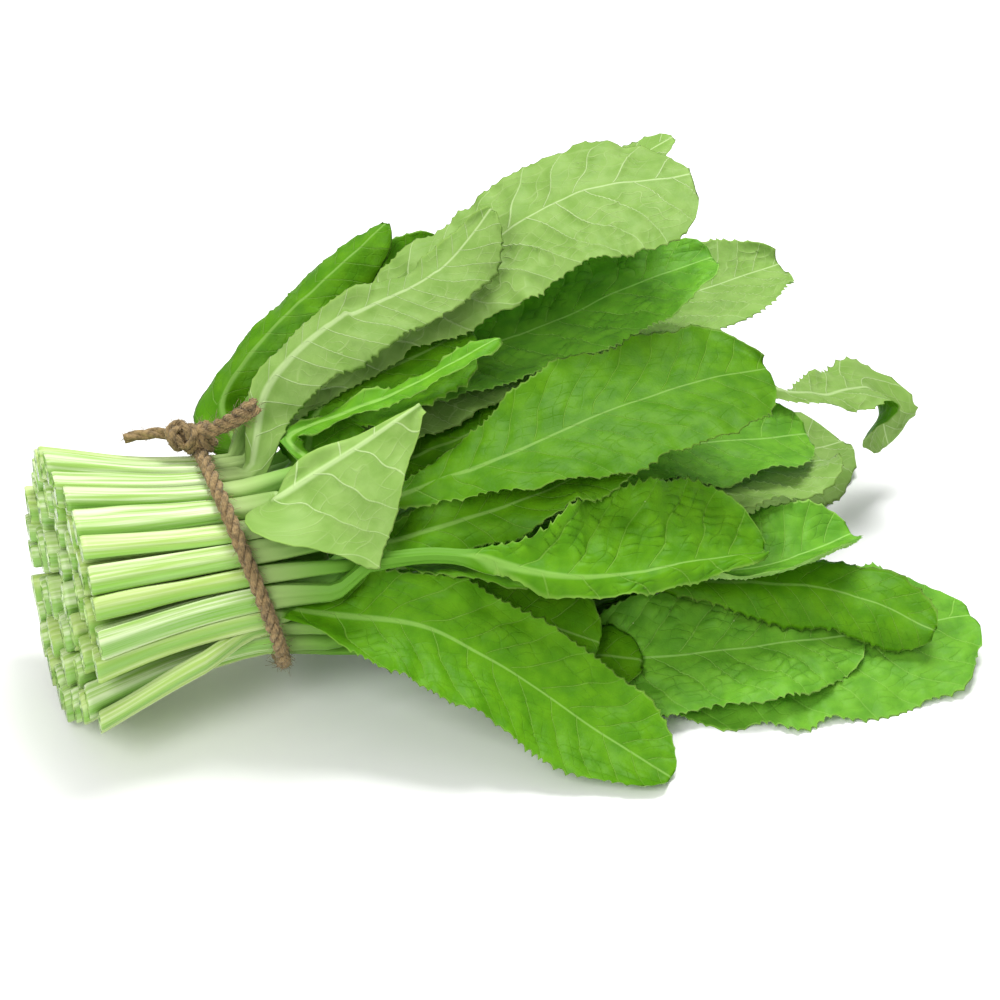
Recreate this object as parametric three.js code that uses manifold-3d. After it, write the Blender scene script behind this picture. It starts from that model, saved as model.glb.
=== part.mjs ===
// Bunch of mustard greens lying on its side, tied with a jute cord. Millimetres, Z up.
import * as THREE from "three";
import Module from "manifold-3d";

// Bundle of stalks
const TIE_CENTRE = new THREE.Vector3(-94, -30, 55);
const AXIS = new THREE.Vector3(0.955, 0.28, 0.03).normalize();
const HALF_WIDE = 40.5;
const HALF_HIGH = 35;
const PACK_RADIUS = 41;
const CUT_LENGTH = 61;
const CUT_LEAN = { across: 0.13, up: 0.05, low: 0.24, lowFrom: 15 };
const CUT_FLARE = 0.32;
const FAN_FLARE = 0.62;
const STALK_DEPTH = 9.2;
const STALK_GAP = 0.7;
const STRAY = { name: "0_14", turn: 15, rise: 8.1, tall: 2.6 };
const RINGS = [
  { radius: 36.3, count: 26, turn: 8 },
  { radius: 26.2, count: 12, turn: 20 },
  { radius: 16.0, count: 7, turn: 5 },
  { radius: 5.4, count: 2, turn: 40 },
];

// Stalk sections: roundness, how far round each face reaches, and how much they slim down past the tie
const SECTION_POWER = 2.6;
const SECTION_REACH = 84;
const SLIM_AT_TIE = 0.2;
const SLIM_IN_BLADE = 0.55;
const SLIM_LENGTH = 40;

// Blades
const BLADE_THICK = 0.9;
const BLADE_EDGE = 0.7;
const RIB_RAISE = 1.6;
const TOOTH_DEPTH = 0.07;
const TIP_FROM = 0.72;
const BASE_WIDTH = 0.1;
const TIP_WIDTH = 0.06;
const BARE_STEP = 30;
const BEND_STEPS = 8;

// Laying the leaves on each other: gap, height below which a blade lies flat on the surface, passes of
// evening out, and the size of a height cell
const LAYER_GAP = 0.5;
const SETTLE = 2;
const EVEN_PASSES = 40;
const CELL = 0.5;

// Cord
const CORD_RADIUS = 3;
const CORD_SLACK = 1.2;
const CORD_STEPS = 40;
const CORD_NORMAL = new THREE.Vector3(0.92, 0.3, 0.24).normalize();
const KNOT = [-110, -20, 97.5];
const KNOT_HALF = [9, 6.5, 6.5];
const TAIL_LEFT = [[-112, -20, 98], [-120, -19, 98.5], [-127, -19, 98], [-134, -20, 97]];
const TAIL_RIGHT = [[-107, -21, 99], [-99, -24, 104], [-92, -26, 109], [-86, -27, 114]];

// Middle of the footprint, moved to the origin
const FOOTPRINT = new THREE.Vector3(1.4, 25.8, 0);

const Z = new THREE.Vector3(0, 0, 1);
const BACK = new THREE.Vector3().crossVectors(Z, AXIS).normalize();
const UP = new THREE.Vector3().crossVectors(AXIS, BACK);

// Leaves placed one by one. ring and slot name the stalk; path runs from the tie to the tip.
// face: which side lies upward; tilt: blade turned to the front, degrees, at base and tip;
// fold and curl: rise and further bend of the back and front half, degrees. Some have their own
// sides: width of the back and front half; narrow: width of the base; tip and point: where the blade
// starts to close and how straight its sides then run.
const PLACED = [
  {
    name: "right_floor", ring: 0, slot: 18, face: "upper",
    path: [[-19, -28, 7], [52, -32, 7], [111, -24, 9], [150, -14, 9], [178, -3, 7]],
    half: 38, start: 0.3, tilt: [14, 18], fold: [3, -2], curl: [-4, -8], wave: 2.5,
  },
  {
    name: "back_low", ring: 0, slot: 21, face: "under",
    path: [[-20, 32, 24], [50, 72, 16], [100, 112, 10], [146, 141, 6]],
    half: 33, start: 0.42, tilt: [4, 16], fold: [6, 4], curl: [-4, -8], wave: 2.5,
  },
  {
    name: "front_low", ring: 0, slot: 17, face: "upper",
    path: [[-11, -32, 15], [40, -40, 15], [88, -34, 15], [134, -22, 12]],
    half: 27, start: 0.25, tilt: [18, 22], fold: [8, 4], curl: [8, 4], wave: 3,
  },
  {
    name: "right_curled", ring: 1, slot: 8, face: "upper",
    path: [[22, -16, 21], [75, -16, 22], [115, -16, 22], [141, -20, 19], [160, -29, 15]],
    half: 17, start: 0.5, tilt: [4, 14], fold: [5, -8], curl: [6, -60], wave: 1.5,
  },
  {
    name: "front_stray", ring: 0, slot: 15, face: "upper", rise: -1,
    path: [[-26, -28, 27], [22, -22, 26], [55, -18, 22]],
    half: 15, start: 0.4, tilt: [12, 14], fold: [4, 4], curl: [4, 4], wave: 1.5,
    rows: 9, columns: 3,
  },
  {
    name: "front_dark", ring: 0, slot: 14, face: "upper", rise: -7,
    path: [[-42, -50, 38], [-29, -48, 40], [0, -44, 35], [36, -46, 23]],
    half: 21, start: 0.1, tilt: [24, 20], fold: [6, 4], curl: [6, 4], wave: 2.5,
    narrow: 0.2,
  },
  {
    name: "right_shelf", ring: 1, slot: 7, face: "upper",
    path: [[-18, -22, 26], [51, -24, 30], [97, -12, 30], [133, 12, 31]],
    half: 25, start: 0.35, tilt: [14, 18], fold: [8, 30], curl: [10, 34], wave: 2.5,
  },
  {
    name: "front_drooping", ring: 0, slot: 13, face: "upper", free: 10,
    path: [[-70, -66, 53], [-53, -66, 51], [-28, -66, 47], [-7, -69, 37], [12, -73, 26], [32, -80, 14], [60, -94, 2]],
    half: 23, start: 0, tilt: [40, 22], fold: [4, 2], curl: [0, -3], wave: 1.5,
    shoulder: 0.4, narrow: 0.4,
  },
  {
    name: "pale_low", ring: 1, slot: 6, face: "under",
    path: [[-26, -16, 48], [37, 6, 48], [84, 30, 40], [128, 56, 34]],
    half: 28, start: 0.4, tilt: [16, 18], fold: [6, 4], curl: [6, 8], wave: 2.5,
  },
  {
    name: "pale_back", ring: 0, slot: 0, face: "under",
    path: [[-30, 12, 54], [39, 50, 56], [102, 67, 54], [127, 83, 52], [150, 106, 48], [159, 106, 24]],
    half: 18, start: 0.62, tilt: [6, 16], fold: [8, 8], curl: [8, 8], wave: 2,
  },
  {
    name: "front_folded", ring: 0, slot: 12, face: "upper",
    path: [[-25, -56, 60], [21, -58, 54], [58, -46, 47], [97, -26, 39]],
    half: 36, start: 0.3, tilt: [30, 30], fold: [6, -14], curl: [10, -20], wave: 2.5,
    sides: [1, 0.35],
  },
  {
    name: "front_filling", ring: 0, slot: 11, face: "upper", rise: -12,
    path: [[-34, -46, 50], [8, -38, 46], [44, -24, 42]],
    half: 17, start: 0.2, tilt: [20, 18], fold: [4, 4], curl: [4, 4], wave: 2,
    rows: 8, columns: 3,
  },
  {
    name: "middle_wide", ring: 1, slot: 5, face: "upper",
    path: [[-37, -12, 58], [22, 12, 62], [55, 32, 63], [100, 50, 58], [120, 60, 55]],
    half: 26, start: 0.36, tilt: [14, 14], fold: [5, 5], curl: [6, 6], wave: 2,
  },
  {
    name: "middle_folded", ring: 0, slot: 10, face: "upper", rise: -4,
    path: [[-42, -46, 67], [-14, -42, 71], [22, -28, 73], [55, -6, 77]],
    half: 16, start: 0.06, tilt: [30, 24], fold: [12, -10], curl: [14, -10], wave: 2,
    narrow: 0.3, sides: [1, 0.9],
  },
  {
    name: "dark_inner", ring: 1, slot: 4, face: "upper", rise: -4.5,
    path: [[-58, -16, 73], [-29, -4, 81], [-7, 8, 85], [22, 24, 91]],
    half: 21, start: 0.2, tilt: [20, 18], fold: [4, 4], curl: [4, 4], wave: 2,
    narrow: 0.3,
  },
  {
    name: "upper_dull", ring: 1, slot: 3, face: "under", rise: -7,
    path: [[-50, -8, 80], [-30, 14, 85], [4, 36, 87], [42, 52, 95]],
    half: 18, start: 0.1, tilt: [18, 16], fold: [4, 4], curl: [4, 4], wave: 2,
    narrow: 0.25,
  },
  {
    name: "middle_bright", ring: 0, slot: 9, face: "upper",
    path: [[-42, -40, 82], [0, -28, 93], [36, -8, 100], [73, 12, 103], [99, 26, 101]],
    half: 28, start: 0.08, tilt: [18, 14], fold: [6, 3], curl: [4, -4], wave: 1.6,
    shoulder: 0.62,
  },
  {
    name: "pale_far", ring: 1, slot: 0, face: "under", rise: 2.5,
    path: [[-30, 30, 77], [23, 66, 89], [71, 96, 96], [113, 128, 96]],
    half: 24, start: 0.36, tilt: [8, 10], fold: [6, 6], curl: [6, 6], wave: 2,
  },
  {
    name: "upper_toothed", ring: 1, slot: 1, face: "upper", rise: 2,
    path: [[-50, 16, 86], [-30, 26, 90], [11, 44, 100], [49, 60, 115], [81, 72, 123]],
    half: 27, start: 0.08, tilt: [14, 14], fold: [6, 5], curl: [4, 4], wave: 2,
    narrow: 0.25,
  },
  {
    name: "back_tip", ring: 0, slot: 1, face: "under", rise: 13.5,
    path: [[-46, 40, 100], [5, 69, 132], [66, 96, 164]],
    half: 16, start: 0.3, tilt: [4, 6], fold: [4, 4], curl: [4, 4], wave: 2,
  },
  {
    name: "edge_on_bright", ring: 0, slot: 7, face: "upper", rise: 5.3,
    path: [[-75, -22, 98], [-54, -18, 106], [-29, -14, 116], [0, 0, 127]],
    half: 9, start: 0.05, tilt: [12, 6], fold: [20, 20], curl: [4, 4], wave: 1,
    narrow: 0.6, sides: [0.8, 1.4], rows: 10, columns: 3,
  },
  {
    name: "top_inner", ring: 1, slot: 2, face: "upper", rise: 12,
    path: [[-64, -2, 99], [-36, 10, 111], [-11, 22, 119]],
    half: 17, start: 0.1, tilt: [20, 20], fold: [6, 6], curl: [8, 8], wave: 1.4,
    narrow: 0.3, rows: 9, columns: 3,
  },
  {
    name: "top_rolled_back", ring: 0, slot: 3, face: "under", rise: 16, free: 6,
    path: [[-102, 10, 91], [-88, 20, 109], [-67, 32, 127], [-42, 50, 146]],
    half: 15, start: 0.08, tilt: [30, 26], fold: [-14, -14], curl: [-50, -40], wave: 1,
  },
  {
    name: "top_rolled_front", ring: 0, slot: 2, face: "upper", rise: 18, free: 6,
    path: [[-95, 18, 88], [-74, 28, 105], [-55, 36, 118], [-36, 48, 130], [-23, 56, 138]],
    half: 14, start: 0.08, tilt: [22, 20], fold: [10, 10], curl: [30, 20], wave: 1,
  },
  {
    name: "snapped_stalk", ring: 0, slot: 4, face: "under", rise: 14.2, free: 3,
    path: [[-89, -6, 100], [-77, -4, 110], [-66, 0, 120], [-57, 8, 133]],
    half: 5, start: 0.8, tilt: [10, 10], fold: [0, 0], curl: [0, 0], wave: 0,
    rows: 5, columns: 2,
  },
  {
    name: "front_torn", ring: 0, slot: 8, face: "under", rise: -2, free: 12,
    path: [[-77, -56, 92], [-63, -48, 99], [-46, -40, 107], [-28, -30, 116]],
    half: 38, start: 0.12, tilt: [36, 42], fold: [0, -4], curl: [-6, -8], wave: 1,
    shoulder: 0.35, narrow: 0.35, sides: [0.3, 1.05], tip: 0.36, point: 1,
  },
  {
    name: "top_pale_large", ring: 0, slot: 5, face: "under", rise: 10, free: 8,
    path: [[-73, 0, 94], [-55, 12, 105], [-33, 26, 120], [-10, 38, 135], [29, 54, 156], [71, 62, 161]],
    half: 33, start: 0.28, tilt: [16, 14], fold: [3, -2], curl: [-2, -6], wave: 1.6,
    shoulder: 0.5, narrow: 0.2, sides: [0.92, 1],
  },
  {
    name: "top_pale_small", ring: 0, slot: 6, face: "under", rise: 14, free: 6,
    path: [[-83, -14, 98], [-68, -4, 109], [-46, 6, 121], [-22, 18, 137], [-3, 34, 158]],
    half: 13, start: 0.14, tilt: [24, 18], fold: [2, -4], curl: [-4, -8], wave: 1.2,
    shoulder: 0.4, narrow: 0.2,
  },
];

// Leaves of the other stalks: they fan out by their place in the bundle. Degrees and millimetres.
const FAN = { turn: 18, across: 27, innerAcross: 8, climb: 7, up: 17, sag: 18, length: 150, innerLength: 6 };
const FAN_AT = 24;

function seeded(seed) {
  let state = seed;
  return () => {
    state = (state * 1664525 + 1013904223) % 4294967296;
    return state / 4294967296;
  };
}

const smooth = (t) => {
  const c = Math.min(1, Math.max(0, t));
  return c * c * (3 - 2 * c);
};
const mix = (a, b, t) => a + (b - a) * t;
const rad = THREE.MathUtils.degToRad;

// Spread of the stalks along the bundle, 1 at the tie
function spread(u) {
  return u < 0
    ? 1 + CUT_FLARE * (-u / CUT_LENGTH) ** 1.6
    : 1 + FAN_FLARE * (u / 60) ** 1.4;
}

function packStalks() {
  const draw = seeded(7);
  const stalks = [];
  RINGS.forEach((ring, r) => {
    for (let k = 0; k < ring.count; k++) {
      const angle = rad(ring.turn + (360 * k) / ring.count + 4 * (draw() - 0.5));
      const radius = ring.radius + 0.8 * (draw() - 0.5);
      stalks.push({
        name: `${r}_${k}`, ring: r, slot: k, angle,
        p: radius * Math.cos(angle) * (HALF_WIDE / PACK_RADIUS),
        q: radius * Math.sin(angle) * (HALF_HIGH / PACK_RADIUS),
        wide: (Math.PI * ring.radius) / ring.count,
        tall: STALK_DEPTH * (0.46 + 0.08 * draw()),
        length: CUT_LENGTH + 3.5 * (draw() - 0.5),
      });
    }
  });
  for (const s of stalks) {
    s.near = stalks.filter((o) => o !== s).map((o) => [o.p - s.p, o.q - s.q]);
    s.near = s.near.filter((d) => Math.hypot(...d) < 30);
    s.length += CUT_LEAN.across * s.p + CUT_LEAN.up * s.q;
    s.length += CUT_LEAN.low * Math.max(0, CUT_LEAN.lowFrom - s.q);
    s.tall = s.name === STRAY.name ? STRAY.tall : s.tall;
  }
  return stalks;
}

// Distance from the middle of a stalk to its skin, toward an angle in the section plane
function stalkRadius(s, angle, turn) {
  const c = Math.cos(angle);
  const d = Math.sin(angle);
  const turned = angle - s.angle - turn;
  const n = SECTION_POWER;
  const round = Math.abs(Math.sin(turned) / s.wide) ** n + Math.abs(Math.cos(turned) / s.tall) ** n;
  let radius = round ** (-1 / n);
  if (turn > 0) {
    return radius;
  }
  for (const [a, b] of s.near) {
    const far = Math.hypot(a, b);
    const toward = (a * c + b * d) / far;
    if (toward > 0.05) {
      radius = Math.min(radius, (far - STALK_GAP) / 2 / toward);
    }
  }
  return radius;
}

// The stray stalk leaves the others at the tie and lies across them
function strayTurn(s, u) {
  return s.name === STRAY.name ? rad(STRAY.turn) * smooth((-u - 14) / (CUT_LENGTH - 14)) : 0;
}

function bundlePoint(s, u, out) {
  const g = spread(u);
  const turn = strayTurn(s, u);
  const off = s.name === STRAY.name ? STRAY.rise * smooth(-u / 24) : 0;
  const p = s.p / HALF_WIDE;
  const q = s.q / HALF_HIGH;
  const away = (Math.hypot(p, q) + off / PACK_RADIUS) * g;
  const angle = Math.atan2(q, p) + turn;
  return out
    .copy(TIE_CENTRE)
    .addScaledVector(AXIS, u)
    .addScaledVector(BACK, away * Math.cos(angle) * HALF_WIDE)
    .addScaledVector(UP, away * Math.sin(angle) * HALF_HIGH);
}

// Middle line of a leaf: straight through the tie, then a smooth curve through the path
function middleLine(leaf) {
  const s = leaf.stalk;
  const v = () => new THREE.Vector3();
  const knots = [bundlePoint(s, leaf.free - 14, v()), bundlePoint(s, leaf.free, v())];
  leaf.path.forEach((p) => knots.push(new THREE.Vector3(...p)));
  const last = knots.length - 1;
  knots.push(knots[last].clone().multiplyScalar(2).sub(knots[last - 1]));
  const line = [];
  let run = leaf.free;
  let before = null;
  for (let k = 1; k < last; k++) {
    const [a, b, c, d] = knots.slice(k - 1, k + 3);
    for (let i = k === 1 ? 0 : 1; i <= 12; i++) {
      const t = i / 12;
      const w = [
        -t * (1 - t) ** 2 / 2,
        1 + t * t * (1.5 * t - 2.5),
        t * (0.5 + t * (2 - 1.5 * t)),
        (t - 1) * t * t / 2,
      ];
      const at = a.clone().multiplyScalar(w[0]).addScaledVector(b, w[1]);
      at.addScaledVector(c, w[2]).addScaledVector(d, w[3]);
      run += before ? at.distanceTo(before) : 0;
      line.push({ run, at });
      before = at;
    }
  }
  return line;
}

function lineAt(leaf, run) {
  if (run <= leaf.free) {
    return bundlePoint(leaf.stalk, run, new THREE.Vector3());
  }
  const line = leaf.line;
  let k = 1;
  while (k < line.length - 1 && line[k].run < run) {
    k++;
  }
  const t = (run - line[k - 1].run) / (line[k].run - line[k - 1].run);
  return line[k - 1].at.clone().lerp(line[k].at, t);
}

// Half width of the blade, base to tip
function bladeShape(f, leaf) {
  const base = leaf.narrow + (1 - leaf.narrow) * smooth(f / leaf.shoulder) ** 0.8;
  const past = Math.max(0, f - leaf.tip) / (1.005 - leaf.tip);
  const close = Math.max(0, 1 - past ** (2 - leaf.point)) ** (0.5 + 0.5 * leaf.point);
  return base * Math.max(TIP_WIDTH, close);
}

// One leaf as two sheets of points, top and under, rows along it and columns across
function leafSheets(leaf) {
  const s = leaf.stalk;
  leaf.line = middleLine(leaf);
  const end = leaf.line[leaf.line.length - 1].run;
  const bladeFrom = mix(leaf.free, end, leaf.start);
  const bladeLong = end - bladeFrom;
  const runs = [-s.length, -s.length / 2, 0, leaf.free];
  const bare = Math.floor((bladeFrom - leaf.free) / BARE_STEP);
  for (let k = 1; k <= bare; k++) {
    runs.push(mix(leaf.free, bladeFrom, k / (bare + 1)));
  }
  const rows = leaf.rows;
  for (let k = 0; k <= rows; k++) {
    runs.push(bladeFrom + bladeLong * (k / rows) * (1.08 - 0.08 * (k / rows)));
  }
  const half = leaf.columns;
  const top = [];
  const under = [];
  runs.forEach((run, row) => {
    const at = lineAt(leaf, run);
    const ahead = lineAt(leaf, Math.min(end, run + 4));
    const along = ahead.sub(lineAt(leaf, Math.min(end, run + 4) - 8)).normalize();
    along.lerpVectors(AXIS, along, smooth(run / leaf.free)).normalize();
    const f = Math.max(0, (run - bladeFrom) / bladeLong);
    const open = smooth((run - bladeFrom + 8) / (0.16 * bladeLong + 8));
    const tilt = rad(mix(leaf.tilt[0], leaf.tilt[1], f)) * smooth((run - leaf.free) / 30);
    const flat = new THREE.Vector3().crossVectors(Z, along).normalize();
    const norm = new THREE.Vector3().crossVectors(along, flat);
    const across = flat.clone().multiplyScalar(Math.cos(tilt)).addScaledVector(norm, Math.sin(tilt));
    const up = norm.clone().multiplyScalar(Math.cos(tilt)).addScaledVector(flat, -Math.sin(tilt));
    const tooth = row % 2 ? 1 + TOOTH_DEPTH : 1 - TOOTH_DEPTH;
    const wide = leaf.half * bladeShape(f, leaf) * (f > 0 && f < 1 ? tooth : 1);
    const slim = 1 - SLIM_IN_BLADE * smooth(f * 1.6);
    const stem = (1 - SLIM_AT_TIE * smooth(run / leaf.free))
      * mix(1, slim, smooth((run - leaf.free) / SLIM_LENGTH)) * spread(Math.min(0, run));
    const turn = strayTurn(s, run);
    const topRow = [];
    const underRow = [];
    for (let k = -half; k <= half; k++) {
      const t = k / half;
      const side = t > 0 ? 0 : 1;
      const m = Math.abs(t);
      // Stalk section
      const angle = Math.PI / 2 - t * rad(SECTION_REACH);
      const r1 = stalkRadius(s, angle, turn) * stem;
      const r2 = stalkRadius(s, -angle, turn) * stem;
      // Blade section
      const broad = wide * leaf.sides[side];
      let x = 0;
      let y = 0;
      for (let j = 0; j < BEND_STEPS; j++) {
        const a = m * ((j + 0.5) / BEND_STEPS);
        const bend = rad(leaf.fold[side] + leaf.curl[side] * a);
        x += (broad * m * Math.cos(bend)) / BEND_STEPS;
        y += (broad * m * Math.sin(bend)) / BEND_STEPS;
      }
      const phase = leaf.phase + side * 2.1;
      y += leaf.wave * m ** 1.6 * Math.sin(leaf.beat * f * 2 * Math.PI + phase) * smooth(f * 5);
      const rib = RIB_RAISE * slim * Math.max(0, 1 - m * half * 0.9);
      const thick = mix(BLADE_THICK, BLADE_EDGE, m) / 2;
      const topY = y + thick + (leaf.face === "under" ? rib : 0.2 * rib);
      const underY = y - thick - (leaf.face === "under" ? 0.2 * rib : rib);
      const sign = Math.sign(t);
      const place = (u, v) => at.clone().addScaledVector(across, u).addScaledVector(up, v);
      topRow.push(place(mix(r1 * Math.cos(angle), sign * x, open), mix(r1 * Math.sin(angle), topY, open)));
      underRow.push(place(mix(r2 * Math.cos(angle), sign * x, open), mix(-r2 * Math.sin(angle), underY, open)));
    }
    top.push(topRow);
    under.push(underRow);
  });
  leaf.runs = runs;
  leaf.top = top;
  leaf.under = under;
}

// Heights of the leaves laid so far, one value a cell
const FIELD = { x: -220, y: -160, nx: 920, ny: 760 };
const heights = new Float32Array(FIELD.nx * FIELD.ny).fill(-1);

function eachSample(a, b, c, visit) {
  const longest = Math.max(a.distanceTo(b), b.distanceTo(c), c.distanceTo(a));
  const n = Math.max(2, Math.ceil(longest / (0.9 * CELL)));
  for (let i = 0; i <= n; i++) {
    for (let j = 0; j <= n - i; j++) {
      const u = i / n;
      const v = j / n;
      const w = 1 - u - v;
      const x = u * a.x + v * b.x + w * c.x;
      const y = u * a.y + v * b.y + w * c.y;
      const z = u * a.z + v * b.z + w * c.z;
      visit(Math.floor((x - FIELD.x) / CELL), Math.floor((y - FIELD.y) / CELL), z);
    }
  }
}

function highestNear(cx, cy) {
  let high = -1;
  for (let j = -1; j <= 1; j++) {
    for (let i = -1; i <= 1; i++) {
      high = Math.max(high, heights[(cy + j) * FIELD.nx + cx + i]);
    }
  }
  return high;
}

// Corners of the two triangles of each patch, alike on both faces
const PATCH = [[[0, 0], [1, 0], [1, 1]], [[0, 0], [1, 1], [0, 1]]];

function eachTriangle(sheet, visit) {
  for (let r = 0; r < sheet.length - 1; r++) {
    for (let k = 0; k < sheet[0].length - 1; k++) {
      PATCH.forEach((t) => visit(t.map(([i, j]) => [r + i, k + j])));
    }
  }
}

// Lays a leaf on what is beneath it: every point rises as far as its patch needs, and its neighbours follow
function layDown(leaf) {
  const { top, under, runs } = leaf;
  const count = top[0].length;
  const need = top.map((row) => row.map(() => 0));
  [under, top].forEach((sheet) => eachTriangle(sheet, (t) => {
    const corners = t.map(([i, j]) => sheet[i][j]);
    let most = 0;
    eachSample(...corners, (cx, cy, z) => {
      most = Math.max(most, highestNear(cx, cy) + LAYER_GAP - z);
    });
    t.forEach(([i, j]) => {
      need[i][j] = Math.max(need[i][j], most);
    });
  }));
  const lift = need.map((row) => row.slice());
  runs.forEach((run, i) => {
    if (run <= leaf.free) {
      lift[i].fill(0);
    }
  });
  for (let pass = 0; pass < EVEN_PASSES; pass++) {
    for (let i = 1; i < runs.length; i++) {
      if (runs[i] <= leaf.free) {
        continue;
      }
      for (let j = 0; j < count; j++) {
        const before = lift[i - 1][j];
        const after = i + 1 < runs.length ? lift[i + 1][j] : lift[i][j];
        const left = lift[i][Math.max(0, j - 1)];
        const right = lift[i][Math.min(count - 1, j + 1)];
        const even = (before + after + left + right) / 4;
        lift[i][j] = Math.max(need[i][j], even);
      }
    }
  }
  top.forEach((row, i) => row.forEach((p, j) => {
    p.z += lift[i][j];
    under[i][j].z += lift[i][j];
    under[i][j].z = under[i][j].z < SETTLE ? 0 : under[i][j].z;
    p.z = Math.max(under[i][j].z === 0 ? BLADE_EDGE : 0, p.z);
  }));
  [top, under].forEach((sheet) => eachTriangle(sheet, (t) => {
    const corners = t.map(([i, j]) => sheet[i][j]);
    eachSample(...corners, (cx, cy, z) => {
      const cell = cy * FIELD.nx + cx;
      heights[cell] = Math.max(heights[cell], z);
    });
  }));
}

function leafMesh(leaf, material) {
  const rows = leaf.top.length;
  const count = leaf.top[0].length;
  const points = [];
  const faces = [];
  const at = (sheet, i, j) => (sheet * rows + i) * count + j;
  [leaf.top, leaf.under].forEach((sheet) => sheet.flat().forEach((p) => {
    points.push(p.x - FOOTPRINT.x, p.y - FOOTPRINT.y, p.z - FOOTPRINT.z);
  }));
  eachTriangle(leaf.top, ([a, b, c]) => {
    faces.push(at(0, ...a), at(0, ...b), at(0, ...c));
    faces.push(at(1, ...a), at(1, ...c), at(1, ...b));
  });
  const wall = (a, b) => {
    faces.push(at(0, ...a), at(1, ...a), at(1, ...b));
    faces.push(at(0, ...a), at(1, ...b), at(0, ...b));
  };
  for (let i = 0; i < rows - 1; i++) {
    wall([i, 0], [i + 1, 0]);
    wall([i + 1, count - 1], [i, count - 1]);
  }
  for (let j = 0; j < count - 1; j++) {
    wall([0, j + 1], [0, j]);
    wall([rows - 1, j], [rows - 1, j + 1]);
  }
  const geometry = new THREE.BufferGeometry();
  geometry.setAttribute("position", new THREE.Float32BufferAttribute(points, 3));
  geometry.setIndex(faces);
  geometry.computeVertexNormals();
  const mesh = new THREE.Mesh(geometry, material);
  mesh.name = leaf.name;
  return mesh;
}

// A leaf for a stalk that has none placed: it fans out from its own side of the bundle
function otherLeaf(stalk, draw) {
  const p = stalk.p / HALF_WIDE;
  const q = stalk.q / HALF_HIGH;
  const inner = stalk.ring > 1;
  const turn = rad(FAN.turn + (inner ? FAN.innerAcross : FAN.across) * p + 6 * (draw() - 0.5));
  const climb = rad(FAN.climb + FAN.up * q + 4 * (draw() - 0.5));
  const reach = inner ? FAN.innerLength : FAN.length * (1 + 0.3 * Math.min(0, p));
  const long = reach * (0.9 + 0.2 * draw());
  const from = bundlePoint(stalk, FAN_AT, new THREE.Vector3());
  const path = [0.28, 0.62, 1].map((t) => {
    const flat = long * t * Math.cos(climb);
    const sag = FAN.sag * t * t * (1 - q * 0.4);
    return [
      from.x + flat * Math.cos(turn),
      from.y + flat * Math.sin(turn),
      Math.max(2, from.z + long * t * Math.sin(climb) - sag),
    ];
  });
  return {
    name: `leaf_${stalk.ring}_${stalk.slot}`, path,
    face: draw() > 0.5 && q > -0.3 ? "under" : "upper",
    half: (inner ? 4 : 15) + 3 * draw(), start: 0.34 + 0.1 * draw(),
    tilt: [-6 * p, -8 * p], fold: [4, 4], curl: [3, 3], wave: 1.5,
    rows: inner ? 4 : 7, columns: inner ? 1 : 2, rise: inner ? -4 : 0,
  };
}

// A round tube along points; a closed one joins its last ring to its first
function tube(wasm, points, radii, sides, closed) {
  const verts = [];
  const tris = [];
  const n = points.length;
  const at = (i, j) => (i % n) * sides + (j % sides);
  points.forEach((p, i) => {
    const next = points[closed ? (i + 1) % n : Math.min(n - 1, i + 1)];
    const last = points[closed ? (i + n - 1) % n : Math.max(0, i - 1)];
    const along = next.clone().sub(last).normalize();
    const side = new THREE.Vector3().crossVectors(closed ? CORD_NORMAL : Z, along).normalize();
    const over = new THREE.Vector3().crossVectors(along, side);
    for (let j = 0; j < sides; j++) {
      const a = (2 * Math.PI * j) / sides;
      const v = p.clone().addScaledVector(side, radii[i] * Math.cos(a));
      v.addScaledVector(over, radii[i] * Math.sin(a));
      verts.push(v.x, v.y, v.z);
    }
  });
  for (let i = 0; i < (closed ? n : n - 1); i++) {
    for (let j = 0; j < sides; j++) {
      tris.push(at(i, j), at(i, j + 1), at(i + 1, j + 1));
      tris.push(at(i, j), at(i + 1, j + 1), at(i + 1, j));
    }
  }
  if (!closed) {
    for (let j = 1; j < sides - 1; j++) {
      tris.push(at(0, 0), at(0, j + 1), at(0, j));
      tris.push(at(n - 1, 0), at(n - 1, j), at(n - 1, j + 1));
    }
  }
  return new wasm.Manifold(new wasm.Mesh({
    numProp: 3, vertProperties: new Float32Array(verts), triVerts: new Uint32Array(tris),
  }));
}

// Ring of cord in its own tilted plane, just outside the stalks
function cordRing() {
  const points = [];
  const reach = RINGS[0].radius + STALK_DEPTH * 0.54 + 0.4;
  for (let k = 0; k < CORD_STEPS; k++) {
    const angle = (2 * Math.PI * k) / CORD_STEPS;
    const p = Math.cos(angle);
    const q = Math.sin(angle);
    const lean = (p * BACK.dot(CORD_NORMAL) + q * UP.dot(CORD_NORMAL)) / AXIS.dot(CORD_NORMAL);
    const u = -lean * reach;
    const far = reach * spread(u) / PACK_RADIUS;
    const at = TIE_CENTRE.clone().addScaledVector(AXIS, u);
    at.addScaledVector(BACK, p * (far * HALF_WIDE + CORD_RADIUS + CORD_SLACK));
    at.addScaledVector(UP, q * (far * HALF_HIGH + CORD_RADIUS + CORD_SLACK));
    points.push(at);
  }
  return points;
}

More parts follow.
